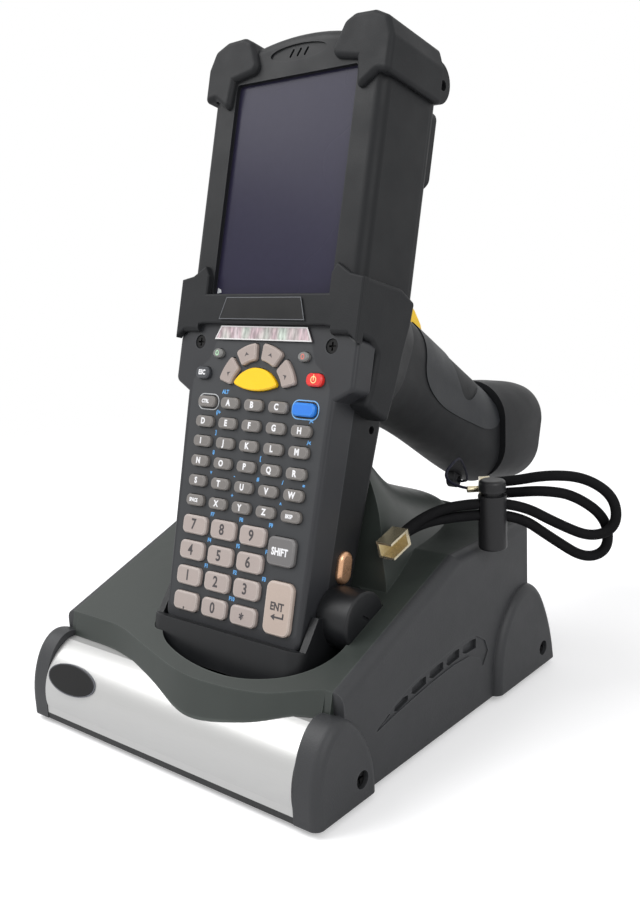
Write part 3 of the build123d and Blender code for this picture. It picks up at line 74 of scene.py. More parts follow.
def shade(red, green, blue):
    """A colour of 0 to 255 as the linear values that a shader takes."""
    out = []
    for value in (red, green, blue):
        part = value / 255.0
        out.append(part / 12.92 if part <= 0.04045 else ((part + 0.055) / 1.055) ** 2.4)
    return tuple(out)


def colour_setting(name, description, rgb):
    """A colour that the panel shows."""
    return bpy.props.FloatVectorProperty(
        name=name, description=description, subtype="COLOR", size=3, min=0.0, max=1.0, default=shade(*rgb))


def length_setting(name, description, millimetres):
    """A length that the panel shows."""
    return bpy.props.FloatProperty(
        name=name, description=description, default=millimetres * MM, min=0.0, unit="LENGTH", precision=5)


class TerminalColours(bpy.types.PropertyGroup):
    """Colours of the terminal's pieces."""

    housing: colour_setting("Housing", "Moulded housing of the head", (25, 26, 28))
    keypad: colour_setting("Keypad housing", "Moulded housing round the keypad", (38, 39, 42))
    boot: colour_setting("Boot", "Rubber boot and bumpers", (27, 28, 30))
    grip: colour_setting("Grip panels", "Soft side panels of the handle", (38, 40, 43))
    panel: colour_setting("Key panel", "Rubber panel between the keys", (39, 41, 44))
    letter_key: colour_setting("Letter keys", "Small keys", (112, 108, 105))
    number_key: colour_setting("Number keys", "Large pale keys", (163, 151, 146))
    shift_key: colour_setting("Shift key", "Tall grey key", (104, 102, 102))
    enter_key: colour_setting("Enter key", "Tall pale key", (176, 160, 150))
    nav_key: colour_setting("Arrow keys", "Four keys in a fan", (158, 145, 139))
    scan_key: colour_setting("Scan key", "Half-moon key", (250, 196, 10))
    power_key: colour_setting("Power key", "Small red key", (222, 48, 44))
    blue_key: colour_setting("Function key", "Blue key", (38, 118, 214))
    legend: colour_setting("Pale legend", "Lettering on the dark keys", (226, 226, 228))
    ink: colour_setting("Dark legend", "Lettering on the pale keys", (62, 58, 60))
    screen: colour_setting("Screen", "Dark display under its glass", (42, 40, 58))
    trigger: colour_setting("Trigger", "Yellow trigger", (246, 200, 20))
    copper: colour_setting("Contact stud", "Copper stud beside the foot", (216, 168, 132))


class CradleColours(bpy.types.PropertyGroup):
    """Colours of the cradle's pieces."""

    cover: colour_setting("Cover", "Painted top cover", (46, 51, 48))
    side: colour_setting("Side covers", "Grained side covers", (48, 49, 51))
    base: colour_setting("Base", "Underside and feet", (26, 27, 28))
    # The cup's colour is darker than its plastic: it also paints the shade that falls on its front and inside.
    cup: colour_setting("Cup", "Dock cup round the terminal's foot", (22, 23, 25))
    bar: colour_setting("Front bar", "Satin aluminium bar", (186, 186, 185))
    badge: colour_setting("Blank badge", "Oval plate on the bar", (12, 12, 13))


class LanyardSizes(bpy.types.PropertyGroup):
    """Sizes of the lanyard."""

    cord: length_setting("Cord", "Diameter of the braided cord", 4.2)
    string: length_setting("String", "Diameter of the thin string", 1.2)
    braid_pitch: length_setting("Braid pitch", "Length of one turn of a strand of the braid", 5.0)


class StageSettings(bpy.types.PropertyGroup):
    """Studio round the object."""

    focal: bpy.props.FloatProperty(
        name="Focal length", description="Lens of the camera", default=39.026, min=1.0, unit="CAMERA")
    ambient: bpy.props.FloatProperty(
        name="Ambient", description="Strength of the white surroundings", default=0.62, min=0.0)
    key_power: bpy.props.FloatProperty(
        name="Key light", description="Power of the large lamp", default=17.0, min=0.0, unit="POWER")
    fill_power: bpy.props.FloatProperty(
        name="Fill light", description="Power of the second lamp", default=8.0, min=0.0, unit="POWER")


# ---------------------------------------------------------------- materials

class Nodes:
    """A short way to write a material's node tree."""

    def __init__(self, material):
        self.tree = material.node_tree
        self.tree.nodes.clear()

    def add(self, kind, values=None, links=None, **settings):
        """Adds a node, sets its fields and plain sockets, and links the others."""
        node = self.tree.nodes.new("ShaderNode" + kind)
        for key, value in settings.items():
            setattr(node, key, value)
        for key, value in (values or {}).items():
            node.inputs[key].default_value = value
        for key, source in (links or {}).items():
            self.tree.links.new(source, node.inputs[key])
        return node


def finish(name, colour, roughness=0.5, grain=0.5, depth=0.2, mottle=0.12, metallic=0.0, wear_and_highlight=0.0,
           coat=0.0, stretch=(1.0, 1.0, 1.0), specular=0.5, blotch=14.0):
    """A procedural surface: a colour that drifts, a grain, and edges lightened as wear and as a painted
    highlight.

    grain and blotch are the sizes of the moulded grain and of the drift of colour, in millimetres.
    """
    material = bpy.data.materials.new(name)
    material.use_nodes = True
    nodes = Nodes(material)
    place = nodes.add("TexCoord")
    mapped = nodes.add("Mapping", {"Scale": stretch}, {"Vector": place.outputs["Object"]})
    drift = nodes.add("TexNoise", {"Scale": 1000.0 / blotch, "Detail": 3.0, "Roughness": 0.6},
                      {"Vector": mapped.outputs[0]})
    fine = nodes.add("TexNoise", {"Scale": 1000.0 / grain, "Detail": 2.0, "Roughness": 0.55},
                     {"Vector": mapped.outputs[0]})
    dark = tuple(c * (1.0 - mottle) for c in colour) + (1.0,)
    pale = tuple(min(1.0, c * (1.0 + mottle)) for c in colour) + (1.0,)
    blend = nodes.add("Mix", {"A": dark, "B": pale}, {"Factor": drift.outputs["Fac"]}, data_type="RGBA")
    base = blend.outputs["Result"]
    speck = nodes.add("MapRange", {"From Min": 0.3, "From Max": 0.7, "To Min": 1.0 - mottle * 0.8,
                                   "To Max": 1.0 + mottle * 0.8}, {"Value": fine.outputs["Fac"]})
    scaled = nodes.add("VectorMath", None, {0: base, "Scale": speck.outputs[0]}, operation="SCALE")
    base = scaled.outputs[0]
    gloss = nodes.add("MapRange", {"From Min": 0.25, "From Max": 0.75, "To Min": max(0.02, roughness - 0.07),
                                   "To Max": min(1.0, roughness + 0.07)}, {"Value": drift.outputs["Fac"]})
    bump = nodes.add("Bump", {"Strength": depth, "Distance": grain * MM * 0.35},
                     {"Height": fine.outputs["Fac"]})
    # Edges turn towards a colour about three times as bright: partly rubbed wear, partly a painted highlight
    # where light catches the edge.
    if wear_and_highlight:
        soft = nodes.add("Bevel", {"Radius": EDGE_WEAR_AND_HIGHLIGHT_RADIUS}, samples=4)
        flat = nodes.add("NewGeometry")
        same = nodes.add("VectorMath", None, {0: soft.outputs[0], 1: flat.outputs["Normal"]},
                         operation="DOT_PRODUCT")
        edge = nodes.add("MapRange", {"From Min": 0.995, "From Max": 0.9, "To Min": 0.0, "To Max": wear_and_highlight},
                         {"Value": same.outputs["Value"]})
        rubbed_and_lit = nodes.add("Math", None, {0: edge.outputs[0], 1: drift.outputs["Fac"]},
                           operation="MULTIPLY")
        bright = tuple(min(1.0, c * 3.0 + 0.05) for c in colour) + (1.0,)
        worn_and_lit = nodes.add("Mix", {"B": bright}, {"Factor": rubbed_and_lit.outputs[0], "A": base}, data_type="RGBA")
        base = worn_and_lit.outputs["Result"]
    shader = nodes.add("BsdfPrincipled",
                       {"Metallic": metallic, "Coat Weight": coat, "Coat Roughness": 0.12,
                        "Specular IOR Level": specular},
                       {"Base Color": base, "Roughness": gloss.outputs[0], "Normal": bump.outputs[0]})
    nodes.add("OutputMaterial", None, {"Surface": shader.outputs[0]})
    return material


def dress(material, *names):
    """Gives CAD nodes a finish."""
    for name in names:
        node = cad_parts[name]
        node.data.materials.clear()
        node.data.materials.append(material)


# ---------------------------------------------------------------- modelling

def deselect():
    """Leaves nothing selected and no piece in edit mode."""
    if bpy.context.object and bpy.context.object.mode != "OBJECT":
        bpy.ops.object.mode_set(mode="OBJECT")
    bpy.ops.object.select_all(action="DESELECT")


def settle(piece, name):
    """Names a piece and puts its place into its mesh."""
    deselect()
    piece.select_set(True)
    bpy.context.view_layer.objects.active = piece
    bpy.ops.object.transform_apply(location=True, rotation=True, scale=True)
    piece.name = name
    piece.data.name = name
    return piece


def hand_over(piece, material, body, replaced=()):
    """Gives a piece its finish and its body, and hides the CAD nodes that it replaces."""
    piece.data.materials.clear()
    piece.data.materials.append(material)
    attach(piece, body)
    if replaced:
        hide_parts(*replaced)
    return piece


def join(pieces):
    """Makes one object of several."""
    deselect()
    for piece in pieces:
        piece.select_set(True)
    bpy.context.view_layer.objects.active = pieces[0]
    if len(pieces) > 1:
        bpy.ops.object.join()
    return bpy.context.view_layer.objects.active


def lettering(text, place, turn, height, bold=0.0, squeeze=1.0):
    """Text as a mesh that lies centred on a point, its capitals that many millimetres high."""
    deselect()
    bpy.ops.object.text_add(location=place, rotation=turn)
    words = bpy.context.object
    words.data.body = text
    words.data.align_x = "CENTER"
    words.data.align_y = "CENTER"
    words.data.size = height * MM / CAPITALS
    words.data.offset = bold * MM
    words.data.extrude = INK * MM
    words.data.resolution_u = 3
    words.scale = (squeeze, 1.0, 1.0)
    bpy.ops.object.convert(target="MESH")
    words = bpy.context.object
    bpy.ops.object.transform_apply(location=True, rotation=True, scale=True)
    return words


def plate(corners, place, turn, thick, hole=None, soften=0.0, taper=0.0):
    """A thin plate that stands up from a place, with its corners in millimetres.

    hole leaves only a frame of that width, and taper draws the top in.
    """
    deselect()
    bpy.ops.mesh.primitive_circle_add(vertices=len(corners), radius=1.0, fill_type="NGON",
                                      location=place, rotation=turn)
    piece = bpy.context.object
    for vertex, (x, y) in zip(piece.data.vertices, corners):
        vertex.co = (x * MM, y * MM, 0.0)
    bpy.ops.object.mode_set(mode="EDIT")
    bpy.ops.mesh.select_all(action="SELECT")
    bpy.ops.mesh.normals_make_consistent(inside=False)
    if hole:
        bpy.ops.mesh.inset(thickness=hole * MM, depth=0.0)
        bpy.ops.mesh.delete(type="FACE")
        bpy.ops.mesh.select_all(action="SELECT")
    outward = Euler(turn).to_matrix() @ Vector((0.0, 0.0, thick * MM))
    bpy.ops.mesh.extrude_region_move(TRANSFORM_OT_translate={"value": outward})
    if taper:
        bpy.ops.mesh.inset(thickness=taper * MM, depth=taper * 0.5 * MM)
    bpy.ops.mesh.select_all(action="SELECT")
    bpy.ops.mesh.normals_make_consistent(inside=False)
    bpy.ops.object.mode_set(mode="OBJECT")
    if soften:
        bevel = piece.modifiers.new("Softened edge", "BEVEL")
        bevel.width = soften * MM
        bevel.segments = 2
        bevel.limit_method = "ANGLE"
        bpy.ops.object.modifier_apply(modifier=bevel.name)
    return piece


def pill(width, height, corner, steps=6):
    """Corners of a rounded rectangle in millimetres."""
    out = []
    for quarter, (sx, sy) in enumerate(((1, 1), (-1, 1), (-1, -1), (1, -1))):
        for step in range(steps + 1):
            angle = math.pi / 2 * (quarter + step / steps)
            out.append((sx * (width / 2 - corner) + corner * math.cos(angle),
                        sy * (height / 2 - corner) + corner * math.sin(angle)))
    return out


def oval(middle, half_width, half_height, steps):
    """Corners of an ellipse in millimetres."""
    out = []
    for i in range(steps):
        angle = 2 * math.pi * i / steps
        out.append((middle[0] + half_width * math.cos(angle), middle[1] + half_height * math.sin(angle)))
    return out


# ---------------------------------------------------------------- cords

def smooth_line(points, resolution=64):
    """Points along a smooth line that a few control points steer."""
    curve = bpy.data.curves.new("Route", "CURVE")
    curve.dimensions = "3D"
    curve.resolution_u = resolution
    spline = curve.splines.new("NURBS")
    spline.points.add(len(points) - 1)
    for control, place in zip(spline.points, points):
        control.co = (*place, 1.0)
    spline.order_u = 3
    spline.use_endpoint_u = True
    carrier = bpy.data.objects.new("Route", curve)
    bpy.context.collection.objects.link(carrier)
    bpy.context.view_layer.update()
    mesh = bpy.data.meshes.new_from_object(carrier)
    line = [vertex.co.copy() for vertex in mesh.vertices]
    bpy.data.objects.remove(carrier)
    bpy.data.curves.remove(curve)
    bpy.data.meshes.remove(mesh)
    return line


def even_steps(line, step):
    """The same line with points at even distances, and its length."""
    lengths = [0.0]
    for a, b in zip(line, line[1:]):
        lengths.append(lengths[-1] + (b - a).length)
    total = lengths[-1]
    count = max(2, round(total / step))
    out = []
    at = 0
    for i in range(count + 1):
        goal = total * i / count
        while at < len(line) - 2 and lengths[at + 1] < goal:
            at += 1
        span = lengths[at + 1] - lengths[at]
        out.append(line[at].lerp(line[at + 1], (goal - lengths[at]) / span if span else 0.0))
    return out, total


def braided_tube(name, line, radius, pitch, carriers, around, relief):
    """A tube whose skin rises and falls in the diamonds of a braid, and the points of its middle line.

    carriers is the number of strands, around the number of points round the tube, and relief the depth
    of the braid as a share of the radius.
    """
    points, total = even_steps(line, pitch / carriers / 4.0)
    normal = None
    verts = []
    for i, point in enumerate(points):
        ahead = (points[min(i + 1, len(points) - 1)] - points[max(i - 1, 0)]).normalized()
        if normal is None:
            normal = ahead.orthogonal().normalized()
        normal = (normal - ahead * normal.dot(ahead)).normalized()
        side = ahead.cross(normal)
        along = 2.0 * math.pi * total * i / (len(points) - 1) / pitch * carriers / 2.0
        for j in range(around):
            angle = 2.0 * math.pi * j / around
            rise = math.cos(carriers / 2.0 * angle + along) * math.cos(carriers / 2.0 * angle - along)
            r = radius * (1.0 - relief + relief * abs(rise) ** 0.6)
            verts.append(point + normal * (r * math.cos(angle)) + side * (r * math.sin(angle)))
    faces = []
    for i in range(len(points) - 1):
        for j in range(around):
            k = (j + 1) % around
            faces.append((i * around + j, i * around + k, (i + 1) * around + k, (i + 1) * around + j))
    faces.append(tuple(range(around - 1, -1, -1)))
    last = (len(points) - 1) * around
    faces.append(tuple(range(last, last + around)))
    mesh = bpy.data.meshes.new(name)
    mesh.from_pydata([tuple(v) for v in verts], [], faces)
    mesh.update()
    piece = bpy.data.objects.new(name, mesh)
    bpy.context.collection.objects.link(piece)
    deselect()
    piece.select_set(True)
    bpy.context.view_layer.objects.active = piece
    bpy.ops.object.shade_smooth()
    return piece, points


OUTER_ROUTE = ((0.05780, -0.04482, 0.07897), (0.05780, -0.03618, 0.08149), (0.06823, -0.02356, 0.08390),
               (0.08740, -0.00752, 0.08390), (0.09891, 0.00210, 0.07250), (0.10850, 0.01012, 0.06380),
               (0.11445, 0.01874, 0.06620), (0.11369, 0.01810, 0.07950), (0.10505, 0.00723, 0.09020),
               (0.09584, -0.00047, 0.09260), (0.08189, -0.00093, 0.09010), (0.07537, -0.00638, 0.09010))
INNER_ROUTE = ((0.06120, -0.04577, 0.08223), (0.06120, -0.03713, 0.08475), (0.06823, -0.02356, 0.08850),
               (0.08740, -0.00752, 0.08850), (0.10121, 0.00402, 0.07800), (0.11145, 0.00971, 0.07320),
               (0.11899, 0.01550, 0.07700), (0.11815, 0.01557, 0.08900), (0.10850, 0.01012, 0.09700),
               (0.09738, 0.00082, 0.09880), (0.08189, -0.00093, 0.09470), (0.07537, -0.00638, 0.09470))
STRING_ROUTE = ((0.07230, -0.00894, 0.09240), (0.06731, -0.01311, 0.09240), (0.05925, -0.01594, 0.09700),
                (0.05200, 0.00620, 0.09900), (0.03800, 0.03320, 0.09300), (0.02700, 0.05720, 0.07800),
                (0.01800, 0.07020, 0.07120), (0.00900, 0.07020, 0.07120))


# ---------------------------------------------------------------- pieces

LETTER_COLUMNS = (-25.0, -12.5, 0.0, 12.5, 25.0)
LETTER_ROWS = (87.1, 79.2, 71.4, 63.5, 55.6, 47.8)
NUMBER_COLUMNS = (-23.3, -7.8, 7.7)
NUMBER_ROWS = (38.2, 28.1, 18.0, 7.9)
LETTER_TEXTS = (("CTRL", "A", "B", "C"), tuple("DEFGH"), tuple("IJKLM"), tuple("NOPQR"), tuple("STUVW"),
                ("SPACE", "X", "Y", "Z", "BKSP"))
NUMBER_TEXTS = ("789", "456", "123", ".0*")
FUNCTION_LABELS = (
    ("ALT", -16.4, 91.4), ("(/+", -19.0, 83.2), ("]", -19.0, 75.3), ("/<", 28.6, 83.1), ("/<", 28.6, 75.2),
    ("v", -19.0, 59.6), ("-", -6.3, 59.4), ("#", 6.0, 59.5), ("/", 18.4, 59.6), ("=", 28.6, 59.5),
    ("+", -6.3, 51.8), ("^", 18.6, 51.5), ("[", 6.0, 67.4), ("$", -19.0, 67.4), ("F7", -15.5, 43.3),
    ("F8", 0.0, 43.3), ("F9", 15.2, 43.3), ("F4", -15.5, 33.2), ("F5", 0.0, 33.2), ("F6", 15.0, 33.2),
    ("F1", -15.5, 23.1), ("F2", 0.0, 23.1), ("F3", 15.0, 23.1), ("F10", 0.0, 13.0))
# The outlines and middles below are (u, v) on the face.
ENTER_ARROW = ((21.6, 10.9), (23.6, 12.1), (23.6, 11.25), (27.2, 11.25), (27.2, 12.7), (27.9, 12.7),
               (27.9, 10.55), (23.6, 10.55), (23.6, 9.7))
NAV_ARROW = ((-1.1, -0.6), (0.0, 0.9), (1.1, -0.6), (0.0, -0.15))
NAV_KEYS = (("left", (-14.5, 98.6), 60), ("up", (-6.0, 106.3), 20), ("down", (6.2, 106.3), -20),
            ("right", (14.6, 98.6), -60))
POWER_KEY = (28.4, 98.2)
POWER_STROKE = ((28.22, 97.9), (28.58, 97.9), (28.58, 100.1), (28.22, 100.1))
OVAL_KEYS_FROM = 102.0  # v above which the corner keys are the two oval ones
FILM_TAB = ((0, 0), (2.2, 0.3), (1.9, 1.5), (0.2, 2.2))
NAMEPLATE_OUTLINE = ((19.0, 128.1), (-19.0, 128.1), (-21.9, 119.5), (21.9, 119.5))
LENS_OUTLINE = ((22.1, 117.3), (-22.1, 117.3), (-24.9, 111.9), (24.9, 111.9))
BADGE_PLACE = Vector((-0.0515, -0.122206, 0.02257))
BADGE_TILT = math.radians(27.0)
BADGE_HALVES = (14.6, 5.8)
BADGE_SUNK = 0.8        # how deep the badge starts in the bar
CRIMP_PLACE = (0.0705, -0.01109, 0.0924)
CRIMP_TURN = math.radians(39.9)


class TERMINAL_OT_cradle_finish(bpy.types.Operator):
    """Gives the cradle's pieces their paint, grain and metal"""

    bl_idname = "terminal.cradle_finish"
    bl_label = "Cradle finishes"

    def execute(self, context):
        colours = context.scene.cradle_colours
        cover = finish("Cover paint", colours.cover, 0.4, grain=0.35, depth=0.12, mottle=0.06, wear_and_highlight=0.4,
                       specular=0.4)
        side = finish("Side cover grain", colours.side, 0.5, grain=0.6, depth=0.3, mottle=0.06, wear_and_highlight=0.4,
                      specular=0.35)
        base = finish("Base plastic", colours.base, 0.6, grain=0.7, depth=0.3)
        # The cup's near-black colour is partly painted shade on its front and inside.
        cup = finish("Cup plastic with painted shade", colours.cup, 0.42, grain=0.4, depth=0.12, wear_and_highlight=0.25, specular=0.3)
        bar = finish("Satin aluminium", colours.bar, 0.36, grain=0.14, depth=0.1, mottle=0.02, metallic=0.6,
                     stretch=(0.02, 1.0, 1.0))
        feet = finish("Foot rubber", shade(22, 22, 23), 0.75, grain=0.8, depth=0.4)
        # Screws are darker than their black steel: the near-black also paints the shade in the holes they sit
        # in.
        screw = finish("Black screw steel with painted hole shade", shade(8, 8, 9), 0.5, grain=0.3, depth=0.2, specular=0.2)
        dress(cover, "cradle_top_cover")
        dress(side, "cradle_side_left", "cradle_side_right")
        dress(base, "cradle_base")
        dress(cup, "dock_cup")
        dress(bar, "front_bar")
        dress(feet, "cradle_feet")
        dress(screw, "cradle_screws", "housing_screws", "trigger_pin")
        dress(finish("Connector plastic", shade(20, 20, 22), 0.5), "dock_connector", "base_connector",
              "power_inlet")
        dress(finish("Circuit board", shade(22, 72, 44), 0.4), "cradle_board", "main_board", "keypad_board",
              "display_module", "scan_engine")
        dress(finish("Spring steel", shade(150, 150, 152), 0.3, metallic=0.9), "trigger_spring")
        return {"FINISHED"}


class TERMINAL_OT_blank_badge(bpy.types.Operator):
    """Adds the blank oval plate on the left of the front bar"""

    bl_idname = "terminal.blank_badge"
    bl_label = "Blank badge"

    def execute(self, context):
        colours = context.scene.cradle_colours
        outward = Vector((0.0, -math.cos(BADGE_TILT), math.sin(BADGE_TILT)))
        seat = BADGE_PLACE - outward * BADGE_SUNK * MM
        turn = (math.pi / 2 - BADGE_TILT, 0.0, 0.0)
        outline = oval((0.0, 0.0), *BADGE_HALVES, 48)
        badge = plate(outline, seat, turn, 1.2, taper=0.4, soften=0.15)
        settle(badge, "bar_badge")
        paint = finish("Badge enamel", colours.badge, 0.4, grain=0.6, depth=0.04, mottle=0.1, specular=0.25)
        hand_over(badge, paint, "cradle")
        rim = plate([(x * 1.02, y * 1.04) for x, y in outline], seat, turn, 1.25, hole=0.5)
        settle(rim, "bar_badge_rim")
        hand_over(rim, finish("Badge rim", shade(96, 98, 104), 0.3, grain=0.3, depth=0.05, metallic=0.5),
                  "cradle")
        return {"FINISHED"}


class TERMINAL_OT_housing_finish(bpy.types.Operator):
    """Gives the terminal's housings, boot and bumpers their moulded finishes"""

    bl_idname = "terminal.housing_finish"
    bl_label = "Housing finishes"

    def execute(self, context):
        colours = context.scene.terminal_colours
        housing = finish("Head housing", colours.housing, 0.5, grain=0.45, depth=0.2, mottle=0.08, wear_and_highlight=0.35,
                         specular=0.2)
        keypad = finish("Keypad housing", colours.keypad, 0.45, grain=0.4, depth=0.15, mottle=0.06, wear_and_highlight=0.4,
                        specular=0.35)
        boot = finish("Boot rubber", colours.boot, 0.58, grain=0.5, depth=0.25, mottle=0.08, wear_and_highlight=0.3,
                      specular=0.22)
        dress(housing, "front_housing", "rear_housing")
        dress(keypad, "keypad_housing")
        dress(boot, "lower_boot", "top_bumpers")
        dress(finish("Contact copper", colours.copper, 0.28, grain=0.3, depth=0.08, metallic=0.85),
              "latch_studs")
        dress(finish("Scan window glass", shade(60, 10, 14), 0.1, grain=2.0, depth=0.0, coat=0.8),
              "scan_window")
        return {"FINISHED"}


class TERMINAL_OT_screen(bpy.types.Operator):
    """Gives the display its dark glass"""

    bl_idname = "terminal.screen"
    bl_label = "Screen"

    def execute(self, context):
        colours = context.scene.terminal_colours
        glass = finish("Screen glass", colours.screen, 0.3, grain=3.0, depth=0.0, mottle=0.04, blotch=160.0,
                       specular=0.12)
        dress(glass, "display_window")
        tab = plate(FILM_TAB, on_face(-29.6, 130.6, -1.98), FACE_TURN, 0.12)
        settle(tab, "screen_film_tab")
        hand_over(tab, finish("Film tab", shade(200, 202, 206), 0.3, mottle=0.1), "terminal")
        return {"FINISHED"}


class TERMINAL_OT_nameplate(bpy.types.Operator):
    """Finishes the blank plate under the screen and its thin bright outline"""

    bl_idname = "terminal.nameplate"
    bl_label = "Blank nameplate"

    def execute(self, context):
        dress(finish("Nameplate black", shade(10, 10, 12), 0.35, grain=0.4, depth=0.03, specular=0.3),
              "nameplate")
        edge = plate(NAMEPLATE_OUTLINE, on_face(0, 0, 3.02), FACE_TURN, 0.16, hole=0.3)
        settle(edge, "nameplate_outline")
        hand_over(edge, finish("Outline grey", shade(92, 94, 98), 0.35, grain=0.3, depth=0.05, metallic=0.3),
                  "terminal")
        return {"FINISHED"}


class TERMINAL_OT_indicator(bpy.types.Operator):
    """Finishes the clear lamp bar and adds a near-white rim round it, a painted highlight on its edge"""

    bl_idname = "terminal.indicator"
    bl_label = "Indicator lens"

    def execute(self, context):
        material = bpy.data.materials.new("Clear lamp lens")
        material.use_nodes = True
        nodes = Nodes(material)
        place = nodes.add("TexCoord")
        mapped = nodes.add("Mapping", {"Scale": (1.0, 0.25, 0.25)}, {"Vector": place.outputs["Object"]})
        lamps = nodes.add("TexNoise", {"Scale": 120.0, "Detail": 1.0}, {"Vector": mapped.outputs[0]})
        facets = nodes.add("TexNoise", {"Scale": 900.0, "Detail": 2.0}, {"Vector": mapped.outputs[0]})
        ramp = nodes.add("ValToRGB", None, {0: lamps.outputs["Fac"]})
        ramp.color_ramp.elements[0].position = 0.36
        ramp.color_ramp.elements[0].color = (*shade(196, 206, 196), 1.0)
        ramp.color_ramp.elements[1].position = 0.64
        ramp.color_ramp.elements[1].color = (*shade(226, 222, 224), 1.0)
        middle = ramp.color_ramp.elements.new(0.5)
        middle.color = (*shade(196, 172, 178), 1.0)
        contrast = nodes.add("MapRange", {"From Min": 0.35, "From Max": 0.65, "To Min": 0.55, "To Max": 1.1},
                             {"Value": facets.outputs["Fac"]})
        tone = nodes.add("VectorMath", None, {0: ramp.outputs["Color"], "Scale": contrast.outputs[0]},
                         operation="SCALE")
        bump = nodes.add("Bump", {"Strength": 0.35, "Distance": 0.0003}, {"Height": facets.outputs["Fac"]})
        shader = nodes.add("BsdfPrincipled", {"Roughness": 0.12, "Coat Weight": 0.6, "Coat Roughness": 0.05},
                           {"Base Color": tone.outputs[0], "Normal": bump.outputs[0]})
        nodes.add("OutputMaterial", None, {"Surface": shader.outputs[0]})
        dress(material, "indicator_lens")
        # The near-white glossy rim paints the highlight along the lens's edge.
        rim = plate(LENS_OUTLINE, on_face(0, 0, 0.78), FACE_TURN, 0.22, hole=0.5, soften=0.06)
        settle(rim, "indicator_rim")
        hand_over(rim, finish("Lens edge painted highlight", shade(214, 212, 212), 0.18, grain=0.3, depth=0.05,
                              coat=0.6), "terminal")
        return {"FINISHED"}


class TERMINAL_OT_key_finish(bpy.types.Operator):
    """Gives the panel and the keys their colours"""

    bl_idname = "terminal.key_finish"
    bl_label = "Key finishes"

    def execute(self, context):
        colours = context.scene.terminal_colours

        def rubber(name, colour, roughness=0.42):
            return finish(name, colour, roughness, grain=0.3, depth=0.1, mottle=0.05, wear_and_highlight=0.35)

        dress(finish("Key panel rubber", colours.panel, 0.5, grain=0.35, depth=0.2, mottle=0.06),
              "keypad_panel")
        letters = rubber("Letter key rubber", colours.letter_key)
        numbers = rubber("Number key rubber", colours.number_key)
        dress(letters, *[f"letter_row_{row}" for row in range(1, 7)])
        dress(numbers, *[f"number_row_{row}" for row in range(1, 5)])
        dress(rubber("Arrow key rubber", colours.nav_key), "nav_key_left", "nav_key_up", "nav_key_down",
              "nav_key_right")
        dress(rubber("Shift key rubber", colours.shift_key), "shift_key")
        dress(rubber("Enter key rubber", colours.enter_key), "enter_key")
        dress(rubber("Scan key yellow", colours.scan_key, 0.34), "scan_key")
        dress(rubber("Power key red", colours.power_key, 0.34), "power_key")
        dress(rubber("Function key blue", colours.blue_key, 0.34), "function_key")
        dress(rubber("Corner key grey", shade(112, 112, 110)), "corner_keys")
        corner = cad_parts["corner_keys"].data
        corner.materials.append(rubber("Escape key", shade(54, 56, 60)))
        for face in corner.polygons:
            if face.center.z < on_face(0, OVAL_KEYS_FROM, 0).z:
                face.material_index = 1
        return {"FINISHED"}


class TERMINAL_OT_key_legends(bpy.types.Operator):
    """Prints the letters and numbers on the keys"""

    bl_idname = "terminal.key_legends"
    bl_label = "Key legends"

    def execute(self, context):
        colours = context.scene.terminal_colours
        pale = finish("Pale legend ink", colours.legend, 0.5, grain=0.4, depth=0.05, mottle=0.04)
        dark = finish("Dark legend ink", colours.ink, 0.5, grain=0.4, depth=0.05, mottle=0.05)
        top = KEY_TOP + LIFT
        for row, texts in enumerate(LETTER_TEXTS):
            words = []
            for column, text in zip(LETTER_COLUMNS, texts):
                long = len(text) > 1
                height, bold, squeeze = (1.45, 0.10, 0.8) if long else (2.35, 0.16, 0.92)
                place = on_face(column + LEGEND_SHIFT, LETTER_ROWS[row], top)
                words.append(lettering(text, place, FACE_TURN, height, bold, squeeze))
            body = f"letter_row_{row + 1}"
            piece = settle(join(words), f"{body}_legend")
            hand_over(piece, pale, body)
        for row, texts in enumerate(NUMBER_TEXTS):
            words = []
            for column, text in zip(NUMBER_COLUMNS, texts):
                drop = 1.2 if text in ".*" else 0.0
                place = on_face(column + LEGEND_SHIFT, NUMBER_ROWS[row] - drop, top)
                words.append(lettering(text, place, FACE_TURN, 4.2, bold=0.14, squeeze=0.9))
            body = f"number_row_{row + 1}"
            piece = settle(join(words), f"{body}_legend")
            hand_over(piece, dark, body)
        shift = settle(lettering("SHIFT", on_face(22.3, 34.4, top), FACE_TURN, 2.7, bold=0.16, squeeze=0.84),
                       "shift_key_legend")
        hand_over(shift, pale, "shift_key")
        enter = [lettering("ENT", on_face(24.2, 14.6, top), FACE_TURN, 2.9, bold=0.14, squeeze=0.86)]
        enter.append(plate(ENTER_ARROW, on_face(0, 0, KEY_TOP - SINK), FACE_TURN, MARK))
        hand_over(settle(join(enter), "enter_key_legend"), dark, "enter_key")
        escape = settle(lettering("ESC", on_face(-29.2, 98.4, top), FACE_TURN, 1.9, bold=0.12, squeeze=0.85),
                        "escape_key_legend")
        hand_over(escape, pale, "corner_keys")
        for name, (u, v), turn in NAV_KEYS:
            cos, sin = math.cos(math.radians(turn)), math.sin(math.radians(turn))
            arrow = [(u + x * cos - y * sin, v + x * sin + y * cos) for x, y in NAV_ARROW]
            piece = settle(plate(arrow, on_face(0, 0, KEY_TOP - SINK), FACE_TURN, MARK), f"nav_{name}_arrow")
            hand_over(piece, dark, f"nav_key_{name}")
        return {"FINISHED"}


